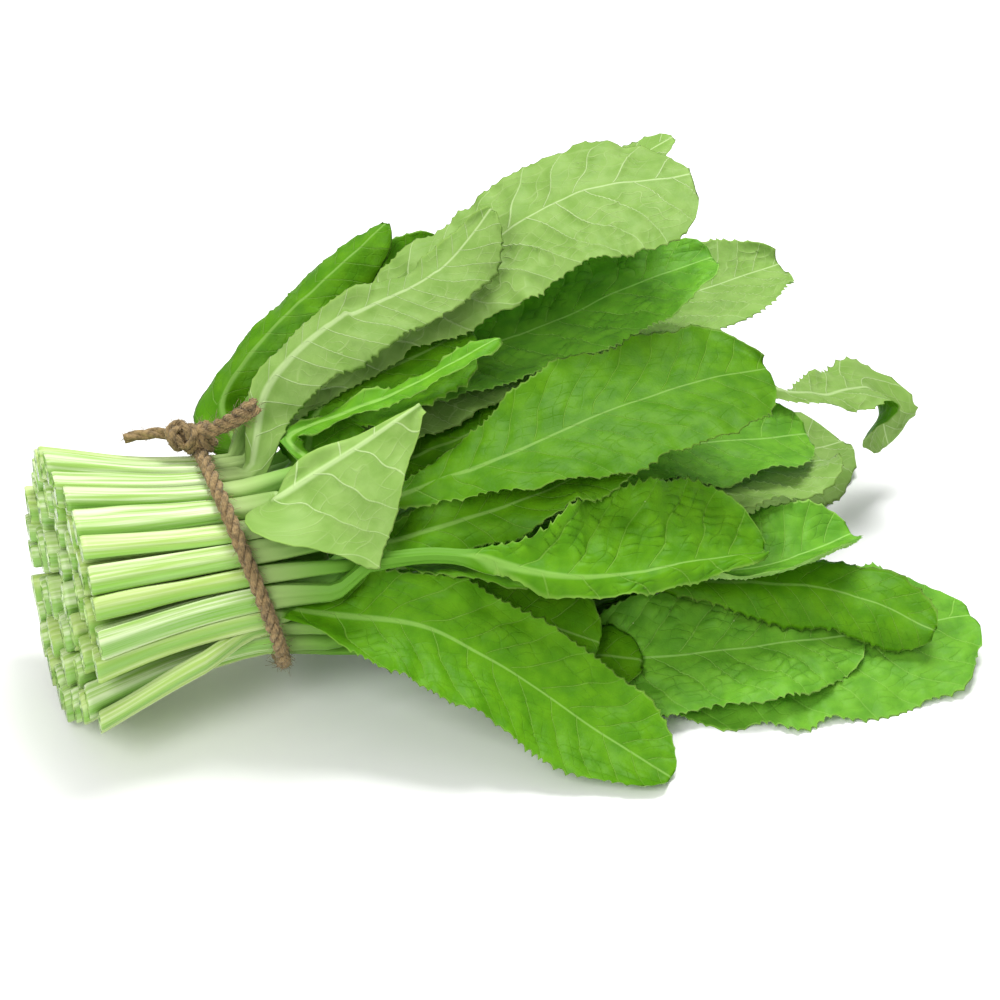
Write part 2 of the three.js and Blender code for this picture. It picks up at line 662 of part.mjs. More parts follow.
async function cordMesh(material) {
  const wasm = await Module();
  wasm.setup();
  const ring = cordRing();
  const vectors = (rows) => rows.map((r) => new THREE.Vector3(...r));
  const knot = wasm.Manifold.sphere(1, 12).scale(KNOT_HALF).rotate([0, -12, 8]).translate(KNOT);
  const whole = tube(wasm, ring, ring.map(() => CORD_RADIUS), 8, true)
    .add(knot)
    .add(tube(wasm, vectors(TAIL_LEFT), [2.4, 2.2, 2, 1.6], 6, false))
    .add(tube(wasm, vectors(TAIL_RIGHT), [2.8, 3, 3.2, 3.4], 6, false));
  const { vertProperties, triVerts } = whole.getMesh();
  const geometry = new THREE.BufferGeometry();
  const spots = Array.from(vertProperties, (v, i) => v - FOOTPRINT.getComponent(i % 3));
  geometry.setAttribute("position", new THREE.Float32BufferAttribute(spots, 3));
  geometry.setIndex(Array.from(triVerts));
  geometry.computeVertexNormals();
  const mesh = new THREE.Mesh(geometry, material);
  mesh.name = "jute_tie";
  return mesh;
}

// What a leaf has unless it says otherwise
const LEAF = {
  rows: 12, columns: 3, free: 26, rise: 0, shoulder: 0.55, narrow: BASE_WIDTH, sides: [1, 1],
  tip: TIP_FROM, point: 0,
};

const stalks = packStalks();
const draw = seeded(23);
const leaves = stalks.map((stalk) => {
  const placed = PLACED.find((l) => l.ring === stalk.ring && l.slot === stalk.slot);
  const leaf = { ...LEAF, ...(placed ?? otherLeaf(stalk, draw)), stalk };
  leaf.phase = 2 * Math.PI * draw();
  leaf.beat = 2 + draw();
  return leaf;
});
leaves.sort((a, b) => a.stalk.q + a.rise - b.stalk.q - b.rise);

const blade = new THREE.MeshStandardMaterial({ color: 0x5f9e2e, roughness: 0.55 });
const group = new THREE.Group();
group.name = "mustard_greens_bunch";
for (const leaf of leaves) {
  leafSheets(leaf);
  layDown(leaf);
  group.add(leafMesh(leaf, blade));
}
group.add(await cordMesh(new THREE.MeshStandardMaterial({ color: 0x8a6a48, roughness: 0.9 })));

export default group;
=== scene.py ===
import math

import bpy
import numpy as np
from bpy.props import FloatProperty, PointerProperty
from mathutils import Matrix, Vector


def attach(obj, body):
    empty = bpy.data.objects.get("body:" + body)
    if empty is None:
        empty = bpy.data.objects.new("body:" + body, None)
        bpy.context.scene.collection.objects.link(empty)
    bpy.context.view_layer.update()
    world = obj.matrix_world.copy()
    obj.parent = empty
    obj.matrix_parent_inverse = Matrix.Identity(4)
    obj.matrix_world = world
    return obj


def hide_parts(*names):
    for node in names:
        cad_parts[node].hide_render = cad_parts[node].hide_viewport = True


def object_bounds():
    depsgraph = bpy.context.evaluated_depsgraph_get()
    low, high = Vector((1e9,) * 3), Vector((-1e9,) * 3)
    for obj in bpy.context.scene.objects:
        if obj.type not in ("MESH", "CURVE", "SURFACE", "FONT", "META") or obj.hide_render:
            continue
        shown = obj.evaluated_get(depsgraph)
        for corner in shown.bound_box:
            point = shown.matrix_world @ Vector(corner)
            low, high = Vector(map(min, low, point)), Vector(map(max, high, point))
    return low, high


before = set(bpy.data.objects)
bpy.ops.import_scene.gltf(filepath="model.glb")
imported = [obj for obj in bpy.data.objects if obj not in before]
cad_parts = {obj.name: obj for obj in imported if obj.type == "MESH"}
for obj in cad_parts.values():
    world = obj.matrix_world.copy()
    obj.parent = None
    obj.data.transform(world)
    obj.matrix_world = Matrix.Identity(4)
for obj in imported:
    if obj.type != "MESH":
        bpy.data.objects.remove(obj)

CAD_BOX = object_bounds()

bl_info = {
    "name": "Mustard greens bunch",
    "version": (1, 0, 0),
    "blender": (4, 5, 0),
    "location": "View3D > Sidebar > Greens",
    "description": "Builds a tied bunch of mustard greens: leafy stems, jute cord and stage",
    "category": "Object",
}

# Lengths in this file are millimetres in the bunch's own frame; meshes are written in metres
MM = 0.001

# Bundle of stalks
TIE_CENTRE = np.array((-94.0, -30.0, 55.0))
AXIS = np.array((0.955, 0.28, 0.03)) / math.sqrt(0.955**2 + 0.28**2 + 0.03**2)
HALF_WIDE = 40.5
HALF_HIGH = 35.0
PACK_RADIUS = 41.0
CUT_LENGTH = 61.0
CUT_LEAN = {"across": 0.13, "up": 0.05, "low": 0.24, "low_from": 15.0}
CUT_FLARE = 0.32
FAN_FLARE = 0.62
STALK_DEPTH = 9.2
STALK_GAP = 0.7
STALK_DRIFT = 0.08
STALK_RISE = 2.4
STRAY = {"name": "0_14", "turn": 15.0, "rise": 8.1, "tall": 2.6}
RINGS = (
    {"radius": 36.3, "count": 26, "turn": 8.0},
    {"radius": 26.2, "count": 12, "turn": 20.0},
    {"radius": 16.0, "count": 7, "turn": 5.0},
    {"radius": 5.4, "count": 2, "turn": 40.0},
)
SECTION_POWER = 2.6
SLIM_AT_TIE = 0.2
SLIM_IN_BLADE = 0.55
SLIM_LENGTH = 40.0
TIP_WIDTH = 0.06
BEND_STEPS = 8

# Laying the leaves on each other
LAYER_GAP = 0.5
FAN = {"turn": 18, "across": 27, "inner_across": 8, "climb": 7, "up": 17, "sag": 18,
       "length": 150, "inner_length": 6}
FAN_AT = 24.0
FOOTPRINT = np.array((1.4, 25.8, 0.0))

# Cord: its radius, the plane of its ring, the knot and the routes of its two ends
CORD_RADIUS = 3.0
CORD_SINK = 0.5
CORD_NORMAL = np.array((0.92, 0.3, 0.24)) / math.sqrt(0.92**2 + 0.3**2 + 0.24**2)
KNOT = np.array((-110.0, -20.0, 97.5))
KNOT_HALF = (8.6, 6.3, 6.3)
TAIL_LEFT = [(-112, -20, 98), (-120, -19, 98.5), (-127, -19, 98), (-134, -20, 97)]
TAIL_RIGHT = [(-107, -21, 99), (-99, -24, 104), (-92, -26, 109), (-86, -27, 114)]

CORD_REACH = RINGS[0]["radius"] + STALK_DEPTH * 0.54 + 0.4

Z = np.array((0.0, 0.0, 1.0))
BACK = np.cross(Z, AXIS) / np.linalg.norm(np.cross(Z, AXIS))
UP = np.cross(AXIS, BACK)

# What every leaf has unless it says otherwise, in the words that the next comment explains
LEAF = dict(
    free=26, rise=0, rows=12, columns=3, shoulder=0.55, narrow=0.1, tip=0.72, point=0.0, sides=(1.0, 1.0),
    pucker=1.0, teeth=1.0, tone_and_painted_light=0.0, slimmer=0.3, close=False, hidden=False, paint=None)

# Leaves placed one by one. stalk: its ring and its place in the ring. face: the side that lies upward.
# half: half the widest width. start: share of the free route where the blade begins. free: distance from the
# tie at which the stalk leaves the bundle. rise: how much later the leaf is laid than its stalk's height says.
# tilt: degrees at the base and at the tip. fold, curl and sides: bend at the midrib, bend toward the margin and
# width, of the far and of the near half. wave: height of the margin's waves. narrow, shoulder, tip and point:
# width at the base, share of the blade that widens, where it narrows again, and how pointed it ends.
# rows and columns: patches of its solid. close: seen from close by. paint: skin of the upward side where the
# leaf is rolled over; the darker upper skin on top_rolled_back's underside is painted shade. pucker, teeth,
# tone and slimmer: how much it bulges between its veins, its teeth, its brightness and how much thinner its
# petiole is than its stalk. The brightness is partly the leaf's own tone and partly painted light: the high
# tones lift leaves that lie in the shade of others. path: the route from the tie to the tip.
PLACED = {
    "right_floor": dict(
        stalk=(0, 18), face="upper", half=38, start=0.3, tilt=(14, 18), fold=(3, -2), curl=(-4, -8),
        wave=2.5, close=True, pucker=0.9, tone_and_painted_light=1.0,
        path=[(-19, -28, 7), (52, -32, 7), (111, -24, 9), (150, -14, 9), (178, -3, 7)]),
    "back_low": dict(
        stalk=(0, 21), face="under", half=33, start=0.42, tilt=(4, 16), fold=(6, 4), curl=(-4, -8),
        wave=2.5,
        path=[(-20, 32, 24), (50, 72, 16), (100, 112, 10), (146, 141, 6)]),
    "front_low": dict(
        stalk=(0, 17), face="upper", half=27, start=0.25, tilt=(18, 22), fold=(8, 4), curl=(8, 4), wave=3,
        close=True, pucker=1.5, tone_and_painted_light=0.9,
        path=[(-11, -32, 15), (40, -40, 15), (88, -34, 15), (134, -22, 12)]),
    "right_curled": dict(
        stalk=(1, 8), face="upper", half=17, start=0.5, tilt=(4, 14), fold=(5, -8), curl=(6, -60),
        wave=1.5,
        path=[(22, -16, 21), (75, -16, 22), (115, -16, 22), (141, -20, 19), (160, -29, 15)]),
    "front_stray": dict(
        stalk=(0, 15), face="upper", half=15, start=0.4, rise=-1, tilt=(12, 14), fold=(4, 4), curl=(4, 4),
        wave=1.5, tip=0.45, point=0.7, rows=9,
        path=[(-26, -28, 27), (22, -22, 26), (55, -18, 22)]),
    "front_dark": dict(
        stalk=(0, 14), face="upper", half=21, start=0.1, rise=-7, tilt=(24, 20), fold=(6, 4), curl=(6, 4),
        wave=2.5, narrow=0.2,
        path=[(-42, -50, 38), (-29, -48, 40), (0, -44, 35), (36, -46, 23)]),
    "right_shelf": dict(
        stalk=(1, 7), face="upper", half=25, start=0.35, tilt=(14, 18), fold=(8, 30), curl=(10, 34),
        wave=2.5, close=True, tone_and_painted_light=1.0,
        path=[(-18, -22, 26), (51, -24, 30), (97, -12, 30), (133, 12, 31)]),
    "front_drooping": dict(
        stalk=(0, 13), face="upper", half=23, start=0, free=10, tilt=(40, 22), fold=(4, 2), curl=(0, 22),
        wave=1.5, sides=(1, 1.04), narrow=0.4, shoulder=0.4, close=True, pucker=0.9, tone_and_painted_light=0.1,
        path=[(-70, -66, 53), (-53, -66, 51), (-28, -66, 47), (-7, -69, 37), (12, -73, 26), (32, -80, 14),
              (60, -94, 2)]),
    "pale_low": dict(
        stalk=(1, 6), face="under", half=28, start=0.4, tilt=(16, 18), fold=(6, 4), curl=(6, 8), wave=2.5,
        path=[(-26, -16, 48), (37, 6, 48), (84, 30, 40), (128, 56, 34)]),
    "pale_back": dict(
        stalk=(0, 0), face="under", half=19, start=0.66, tilt=(6, 16), fold=(8, 8), curl=(8, 8), wave=2,
        narrow=0.15, shoulder=0.95, tip=0.88, close=True,
        path=[(-30, 12, 54), (39, 50, 56), (102, 67, 54), (127, 83, 52), (150, 106, 48), (159, 106, 24)]),
    "front_folded": dict(
        stalk=(0, 12), face="upper", half=36, start=0.3, tilt=(30, 30), fold=(6, -14), curl=(10, -20),
        wave=2.5, sides=(1, 0.25), close=True, pucker=1.4, teeth=1.6, tone_and_painted_light=0.15, slimmer=0.35,
        path=[(-25, -56, 60), (21, -58, 54), (58, -46, 47), (97, -26, 39)]),
    "front_filling": dict(
        stalk=(0, 11), face="upper", half=17, start=0.2, rise=-12, tilt=(20, 18), fold=(4, 4), curl=(4, 4),
        wave=2, rows=8,
        path=[(-34, -46, 50), (8, -38, 46), (44, -24, 42)]),
    "middle_wide": dict(
        stalk=(1, 5), face="upper", half=26, start=0.36, tilt=(14, 14), fold=(5, 5), curl=(6, 6), wave=2,
        close=True, pucker=0.9, tone_and_painted_light=0.9,
        path=[(-37, -12, 58), (22, 12, 62), (55, 32, 63), (100, 50, 58), (120, 60, 55)]),
    "middle_folded": dict(
        stalk=(0, 10), face="upper", half=16, start=0.06, rise=-4, tilt=(30, 24), fold=(12, -10),
        curl=(14, -10), wave=2, sides=(1, 0.9), narrow=0.3, close=True, pucker=0.7,
        path=[(-42, -46, 67), (-14, -42, 71), (22, -28, 73), (55, -6, 77)]),
    "dark_inner": dict(
        stalk=(1, 4), face="upper", half=21, start=0.05, rise=-4.5, tilt=(20, 18), fold=(4, 4),
        curl=(4, 4), wave=2, narrow=0.5,
        path=[(-58, -16, 73), (-29, -4, 81), (-7, 8, 85), (22, 24, 91)]),
    "upper_dull": dict(
        stalk=(1, 3), face="under", half=18, start=0.02, rise=-7, tilt=(18, 16), fold=(4, 4), curl=(4, 4),
        wave=2, narrow=0.5,
        path=[(-50, -8, 80), (-30, 14, 85), (4, 36, 87), (42, 52, 95)]),
    "middle_bright": dict(
        stalk=(0, 9), face="upper", half=28, start=0.08, tilt=(18, 14), fold=(6, 3), curl=(4, -4),
        wave=1.6, shoulder=0.62, tip=0.8, close=True, pucker=0.5, teeth=0.8, tone_and_painted_light=-0.2,
        path=[(-42, -40, 82), (0, -28, 93), (36, -8, 100), (73, 12, 103), (99, 26, 101)]),
    "pale_far": dict(
        stalk=(1, 0), face="under", half=24, start=0.36, rise=2.5, tilt=(8, 10), fold=(6, 6), curl=(6, 6),
        wave=2, sides=(1.0, 1.2), close=True, pucker=1.1, tone_and_painted_light=0.1,
        path=[(-30, 30, 77), (23, 66, 89), (71, 96, 96), (113, 128, 96)]),
    "upper_toothed": dict(
        stalk=(1, 1), face="upper", half=27, start=0.02, rise=2, tilt=(14, 14), fold=(6, 5), curl=(4, 4),
        wave=2, narrow=0.4, close=True, pucker=1.2, tone_and_painted_light=1.0,
        path=[(-50, 16, 86), (-30, 26, 90), (11, 44, 100), (49, 60, 115), (81, 72, 123)]),
    "back_tip": dict(
        stalk=(0, 1), face="under", half=16, start=0.3, rise=13.5, tilt=(4, 6), fold=(4, 4), curl=(4, 4),
        wave=2,
        path=[(-46, 40, 100), (5, 69, 132), (66, 96, 164)]),
    "edge_on_bright": dict(
        stalk=(0, 7), face="upper", half=7, start=0.0, rise=5.3, tilt=(12, 6), fold=(20, 20), curl=(4, 4),
        wave=1, sides=(0.7, 1.1), narrow=0.5, shoulder=0.3, rows=10, tone_and_painted_light=0.5,
        path=[(-75, -22, 98), (-54, -18, 106), (-29, -14, 116), (0, 0, 127)]),
    "top_inner": dict(
        stalk=(1, 2), face="upper", half=21, start=0.0, rise=12, tilt=(20, 20), fold=(6, 6), curl=(8, 8),
        wave=1.4, sides=(1, 1.3), narrow=0.6, rows=9, pucker=1.5, tone_and_painted_light=0.2, slimmer=0.5,
        path=[(-64, -2, 99), (-36, 10, 111), (-11, 22, 119)]),
    # Painted shade: paint gives this rolled leaf's underside the darker skin of the upper side
    "top_rolled_back": dict(
        stalk=(0, 3), face="under", half=15, start=0.0, rise=16, free=6, tilt=(30, 26), fold=(-14, -14),
        curl=(-50, -40), wave=1, narrow=0.7, paint="upper", teeth=0.3, tone_and_painted_light=-0.1,
        path=[(-102, 10, 91), (-88, 20, 109), (-67, 32, 127), (-42, 50, 146)]),
    "top_rolled_front": dict(
        stalk=(0, 2), face="upper", half=14, start=0.0, rise=18, free=6, tilt=(22, 20), fold=(10, 10),
        curl=(30, 20), wave=1, narrow=0.7, teeth=0.6, tone_and_painted_light=-0.1,
        path=[(-95, 18, 88), (-74, 28, 105), (-55, 36, 118), (-36, 48, 130), (-23, 56, 138)]),
    "snapped_stalk": dict(
        stalk=(0, 4), face="under", half=5, start=0.8, rise=14.2, free=3, tilt=(10, 10), fold=(0, 0),
        curl=(0, 0), wave=0, rows=5, columns=2,
        path=[(-89, -6, 100), (-77, -4, 110), (-66, 0, 120), (-57, 8, 133)]),
    "front_torn": dict(
        stalk=(0, 8), face="under", half=38, start=0.06, rise=-2, free=12, tilt=(36, 42), fold=(0, -4),
        curl=(-6, -8), wave=1, sides=(0.2, 1.05), narrow=0.08, shoulder=0.4, tip=0.36, point=1, close=True,
        pucker=0.6, teeth=0.3, tone_and_painted_light=0.1,
        path=[(-77, -56, 92), (-63, -48, 99), (-46, -40, 107), (-28, -30, 116)]),
    "top_pale_large": dict(
        stalk=(0, 5), face="under", half=33, start=0.03, rise=10, free=8, tilt=(16, 14), fold=(3, -2),
        curl=(-2, -6), wave=1.6, sides=(0.72, 1), narrow=0.2, shoulder=0.8, tip=0.86, close=True,
        pucker=1.1, teeth=0.7, tone_and_painted_light=-0.1, slimmer=0.6,
        path=[(-73, 0, 94), (-55, 12, 105), (-33, 26, 120), (-10, 38, 135), (29, 54, 156), (71, 62, 161)]),
    "top_pale_small": dict(
        stalk=(0, 6), face="under", half=13, start=0.02, rise=14, free=6, tilt=(24, 18), fold=(2, -4),
        curl=(-4, -8), wave=1.2, sides=(0.6, 1.2), narrow=0.55, shoulder=0.4, close=True, pucker=0.8,
        teeth=0.6, tone_and_painted_light=-0.15, slimmer=0.7,
        path=[(-83, -14, 98), (-68, -4, 109), (-46, 6, 121), (-22, 18, 137), (-3, 34, 158)]),
}


class Draw:
    """Seeded draws between 0 and 1."""

    def __init__(self, seed):
        self.state = seed

    def __call__(self):
        self.state = (self.state * 1664525 + 1013904223) % 4294967296
        return self.state / 4294967296


def smooth(t):
    c = np.clip(t, 0.0, 1.0)
    return c * c * (3 - 2 * c)


def mix(a, b, t):
    return a + (b - a) * t


def unit(v):
    return v / np.maximum(np.linalg.norm(v, axis=-1, keepdims=True), 1e-9)


def ripple(a, b, seed, scale):
    """Smooth uneven waves over (a, b), about -1 to 1, with bumps about scale long."""
    draw = Draw(seed)
    total = 0.0
    for k in range(5):
        turn = 2 * math.pi * draw()
        size = 2 * math.pi / (scale * (0.7 + 0.9 * draw()))
        total = total + np.sin(size * (a * math.cos(turn) + b * math.sin(turn)) + 2 * math.pi * draw())
    return total / 2.6


def spread(u):
    """Spread of the stalks along the bundle, 1 at the tie."""
    cut = 1 + CUT_FLARE * (np.maximum(0, -u) / CUT_LENGTH) ** 1.6
    return np.where(u < 0, cut, 1 + FAN_FLARE * (np.maximum(0, u) / 60) ** 1.4)


def pack_stalks():
    draw = Draw(7)
    stalks = []
    for r, ring in enumerate(RINGS):
        for k in range(ring["count"]):
            angle = math.radians(ring["turn"] + 360 * k / ring["count"] + 4 * (draw() - 0.5))
            radius = ring["radius"] + 0.8 * (draw() - 0.5)
            tall = STALK_DEPTH * (0.46 + 0.08 * draw())
            length = CUT_LENGTH + 1.5 * (draw() - 0.5)
            stalks.append(dict(
                name=f"{r}_{k}", ring=r, slot=k, angle=angle, tall=tall, length=length,
                p=radius * math.cos(angle) * HALF_WIDE / PACK_RADIUS,
                q=radius * math.sin(angle) * HALF_HIGH / PACK_RADIUS,
                wide=math.pi * ring["radius"] / ring["count"]))
    drift = Draw(41)
    for s in stalks:
        outer = s["ring"] == 0 and s["name"] != STRAY["name"]
        s["drifts"] = STALK_DRIFT * (drift() - 0.5) if outer else 0.0
        s["rises"] = STALK_RISE * (drift() - 0.5) if outer else 0.0
        s["share"] = 0.72 + 0.56 * drift() if outer else 1.0
    for s in stalks:
        others = [o for o in stalks if o is not s]
        near = [(o["p"] - s["p"], o["q"] - s["q"], s["share"] / (s["share"] + o["share"])) for o in others]
        s["near"] = [d for d in near if math.hypot(*d[:2]) < 30]
        s["wide"] *= min(1.3, max(1.0, 1.05 * s["share"]))
        s["length"] += CUT_LEAN["across"] * s["p"] + CUT_LEAN["up"] * s["q"]
        s["length"] += CUT_LEAN["low"] * max(0.0, CUT_LEAN["low_from"] - s["q"])
        if s["name"] == STRAY["name"]:
            s["tall"] = STRAY["tall"]
    return stalks


def stray_turn(s, u):
    if s["name"] != STRAY["name"]:
        return np.zeros_like(u)
    return math.radians(STRAY["turn"]) * smooth((-u - 14) / (CUT_LENGTH - 14))


def stalk_radius(s, angle, turn):
    """Distance from the middle of a stalk to its skin, toward an angle in the section plane."""
    turned = angle - s["angle"] - turn
    n = SECTION_POWER
    round_ = np.abs(np.sin(turned) / s["wide"]) ** n + np.abs(np.cos(turned) / s["tall"]) ** n
    own = round_ ** (-1 / n)
    radius = own
    for a, b, part in s["near"]:
        far = math.hypot(a, b)
        toward = (a * np.cos(angle) + b * np.sin(angle)) / far
        room = (far - STALK_GAP) * part / np.maximum(toward, 0.05)
        radius = np.where(toward > 0.05, np.minimum(radius, room), radius)
    return np.where(turn > 0, own, radius)


def bundle_point(s, u):
    g = spread(u)
    off = STRAY["rise"] * smooth(-u / 24) if s["name"] == STRAY["name"] else 0.0
    p = s["p"] / HALF_WIDE
    q = s["q"] / HALF_HIGH
    loose = smooth((-u - 6) / (CUT_LENGTH - 6))
    away = (math.hypot(p, q) + off / PACK_RADIUS) * g + s["rises"] * loose / PACK_RADIUS
    angle = math.atan2(q, p) + stray_turn(s, u) + s["drifts"] * loose
    return (TIE_CENTRE + np.multiply.outer(u, AXIS) + np.multiply.outer(away * np.cos(angle) * HALF_WIDE, BACK)
            + np.multiply.outer(away * np.sin(angle) * HALF_HIGH, UP))


def middle_line(leaf):
    """Middle line of a leaf: straight through the tie, then a smooth curve through the path."""
    s = leaf["stalk_data"]
    start = bundle_point(s, np.array((leaf["free"] - 14.0, float(leaf["free"]))))
    knots = np.vstack((start, np.array(leaf["path"], float)))
    knots = np.vstack((knots, 2 * knots[-1] - knots[-2]))
    points = []
    for k in range(1, len(knots) - 2):
        a, b, c, d = knots[k - 1:k + 3]
        for i in range(0 if k == 1 else 1, 13):
            t = i / 12
            points.append(-t * (1 - t) ** 2 / 2 * a + (1 + t * t * (1.5 * t - 2.5)) * b
                          + t * (0.5 + t * (2 - 1.5 * t)) * c + (t - 1) * t * t / 2 * d)
    points = np.array(points)
    steps = np.linalg.norm(np.diff(points, axis=0), axis=1)
    leaf["line"] = points
    leaf["line_run"] = leaf["free"] + np.concatenate(((0,), np.cumsum(steps)))
    leaf["end"] = leaf["line_run"][-1]
    leaf["blade_from"] = mix(leaf["free"], leaf["end"], leaf["start"])
    leaf["blade_long"] = leaf["end"] - leaf["blade_from"]


def line_at(leaf, run):
    """Points of the middle line at distances from the tie."""
    bundled = bundle_point(leaf["stalk_data"], np.minimum(run, leaf["free"]))
    free = np.stack([np.interp(run, leaf["line_run"], leaf["line"][:, k]) for k in range(3)], axis=1)
    return np.where((run <= leaf["free"])[:, None], bundled, free)


def blade_shape(f, leaf):
    """Half width of the blade, base to tip, as a share of the widest."""
    base = leaf["narrow"] + (1 - leaf["narrow"]) * smooth(f / leaf["shoulder"]) ** 0.8
    tip_from, point = leaf["tip"], leaf["point"]
    past = np.maximum(0, f - tip_from) / (1.005 - tip_from)
    return base * np.maximum(TIP_WIDTH, np.maximum(0, 1 - past ** (2 - point)) ** (0.5 + 0.5 * point))


def sections(leaf, runs, t, look):
    """Top and under sheet of a leaf, rows along it and columns across. look holds the finer forms."""
    s = leaf["stalk_data"]
    end, blade_from, blade_long, free = leaf["end"], leaf["blade_from"], leaf["blade_long"], leaf["free"]
    at = line_at(leaf, runs)
    ahead = np.minimum(end, runs + 4)
    along = unit(line_at(leaf, ahead) - line_at(leaf, ahead - 8))
    along = unit(mix(AXIS, along, smooth(runs / free)[:, None]))
    f = np.maximum(0, (runs - blade_from) / blade_long)[:, None]
    open_ = smooth((runs - blade_from + 8) / (look["opens"] * blade_long + 8))[:, None]
    tilt = np.radians(mix(leaf["tilt"][0], leaf["tilt"][1], f)) * smooth((runs - free) / 30)[:, None]
    flat = unit(np.cross(Z, along))
    norm = np.cross(along, flat)
    across = flat * np.cos(tilt) + norm * np.sin(tilt)
    up = norm * np.cos(tilt) - flat * np.sin(tilt)

    m = np.abs(t)[None, :]
    side = np.where(t > 0, 0, 1)
    wide_side = np.array(leaf["sides"])[side][None, :]
    wide = leaf["half"] * blade_shape(f, leaf) * look["tooth"]
    slim = 1 - SLIM_IN_BLADE * smooth(f * 1.6)
    wide = wide * wide_side
    runs_ = runs[:, None]
    stem = (1 - SLIM_AT_TIE * smooth(runs_ / free)) * mix(1, slim, smooth((runs_ - free) / SLIM_LENGTH))
    stem = stem * spread(np.minimum(runs_, 0))
    stem = stem * look["stem"]
    turn = stray_turn(s, runs)[:, None]
    angle = math.pi / 2 - t[None, :] * look["reach"]
    r1 = stalk_radius(s, angle, turn) * stem
    r2 = stalk_radius(s, -angle, turn) * stem

    fold = np.array(leaf["fold"], float)[side][None, :]
    curl = np.array(leaf["curl"], float)[side][None, :]
    x = 0.0
    y = 0.0
    for j in range(BEND_STEPS):
        bend = np.radians(fold + curl * m * ((j + 0.5) / BEND_STEPS))
        x = x + wide * m * np.cos(bend) / BEND_STEPS
        y = y + wide * m * np.sin(bend) / BEND_STEPS
    phase = leaf["phase"] + side[None, :] * 2.1
    y = y + leaf["wave"] * m**1.6 * np.sin(leaf["beat"] * f * 2 * math.pi + phase) * smooth(f * 5)
    y = y + look["ruffle"]
    sign = np.sign(t)[None, :]
    rib, thick = look["rib"](m, wide, slim), look["thick"](m)
    strong, weak = (rib, 0.2 * rib) if leaf["face"] == "under" else (0.2 * rib, rib)

    def place(u, v):
        return at[:, None, :] + across[:, None, :] * u[:, :, None] + up[:, None, :] * v[:, :, None]

    top = place(mix(r1 * np.cos(angle), sign * x, open_), mix(r1 * np.sin(angle), y + thick + strong, open_))
    under = place(mix(r2 * np.cos(angle), sign * x, open_), mix(-r2 * np.sin(angle), y - thick - weak, open_))
    return top, under, dict(f=f, m=m, wide=wide, open=open_, sign=sign, runs=runs_)


class Heights:
    """Highest point laid so far, one value a cell."""

    def __init__(self, cell):
        self.cell = cell
        self.low = np.array((-220.0, -160.0))
        self.shape = (int(460 / cell), int(380 / cell))
        self.z = np.full(self.shape, -1.0)

    def index(self, points):
        ij = np.floor((points[..., :2] - self.low) / self.cell).astype(int)
        return np.clip(ij[..., 0], 1, self.shape[0] - 2), np.clip(ij[..., 1], 1, self.shape[1] - 2)

    def near(self, points):
        i, j = self.index(points)
        return np.max([self.z[i + a, j + b] for a in (-1, 0, 1) for b in (-1, 0, 1)], axis=0)

    def at(self, points):
        i, j = self.index(points)
        return self.z[i, j]

    def add(self, points):
        i, j = self.index(points)
        np.maximum.at(self.z, (i.ravel(), j.ravel()), points[..., 2].ravel())


def patch_samples(sheet, n):
    """Points spread over both triangles of each patch: (patch, sample, 3) and the patches' corners."""
    a, b, c, d = sheet[:-1, :-1], sheet[1:, :-1], sheet[1:, 1:], sheet[:-1, 1:]
    u, v = np.meshgrid(np.arange(n + 1) / n, np.arange(n + 1) / n, indexing="ij")
    keep = (u + v) <= 1 + 1e-9
    u, v = u[keep], v[keep]
    w = 1 - u - v

    def spots(p, q, r):
        return (p[:, :, None] * w[None, None, :, None] + q[:, :, None] * u[None, None, :, None]
                + r[:, :, None] * v[None, None, :, None])

    return spots(a, b, c), spots(a, c, d)


def even_out(need, lift, fixed, passes):
    """Each point keeps at least what it needs, and its neighbours follow."""
    for _ in range(passes):
        padded = np.pad(lift, 1, mode="edge")
        even = (padded[:-2, 1:-1] + padded[2:, 1:-1] + padded[1:-1, :-2] + padded[1:-1, 2:]) / 4
        lift = np.where(fixed, 0.0, np.maximum(need, even))
    return lift


SOLID_LOOK = dict(
    tooth=1.0, stem=1.0, reach=math.radians(84), ruffle=0.0, opens=0.16,
    thick=lambda m: mix(0.9, 0.7, m) / 2)


def lay_solid(leaf, heights):
    """Finds how far each part of a leaf rises onto those beneath it, as coarse as in the solids."""
    rows, half = leaf["rows"], leaf["columns"]
    free, blade_from = leaf["free"], leaf["blade_from"]
    bare = int((blade_from - free) // 30)
    k = np.arange(rows + 1) / rows
    runs = np.concatenate((
        (-leaf["stalk_data"]["length"], -leaf["stalk_data"]["length"] / 2, 0.0, free),
        [mix(free, blade_from, i / (bare + 1)) for i in range(1, bare + 1)],
        blade_from + leaf["blade_long"] * k * (1.08 - 0.08 * k)))
    t = np.arange(-half, half + 1) / half
    look = dict(SOLID_LOOK, rib=lambda m, wide, slim: 1.6 * slim * np.maximum(0, 1 - m * half * 0.9))
    top, under, _ = sections(leaf, runs, t, look)
    need = np.zeros(top.shape[:2])
    n = 16
    for sheet in (under, top):
        first, second = patch_samples(sheet, n)
        for spots, corners in ((first, ((0, 0), (1, 0), (1, 1))), (second, ((0, 0), (1, 1), (0, 1)))):
            most = np.maximum(0, (heights.near(spots) + LAYER_GAP - spots[..., 2]).max(axis=2))
            for i, j in corners:
                part = need[i:i + most.shape[0], j:j + most.shape[1]]
                np.maximum(part, most, out=part)
    fixed = np.repeat((runs <= free)[:, None], need.shape[1], axis=1)
    lift = even_out(need, np.where(fixed, 0, need), fixed, 40)
    for sheet in (top, under):
        sheet[..., 2] = np.maximum(0, sheet[..., 2] + lift)
        for spots in patch_samples(sheet, n):
            heights.add(spots)
    leaf["solid_runs"], leaf["solid_t"], leaf["solid_lift"] = runs, t, lift


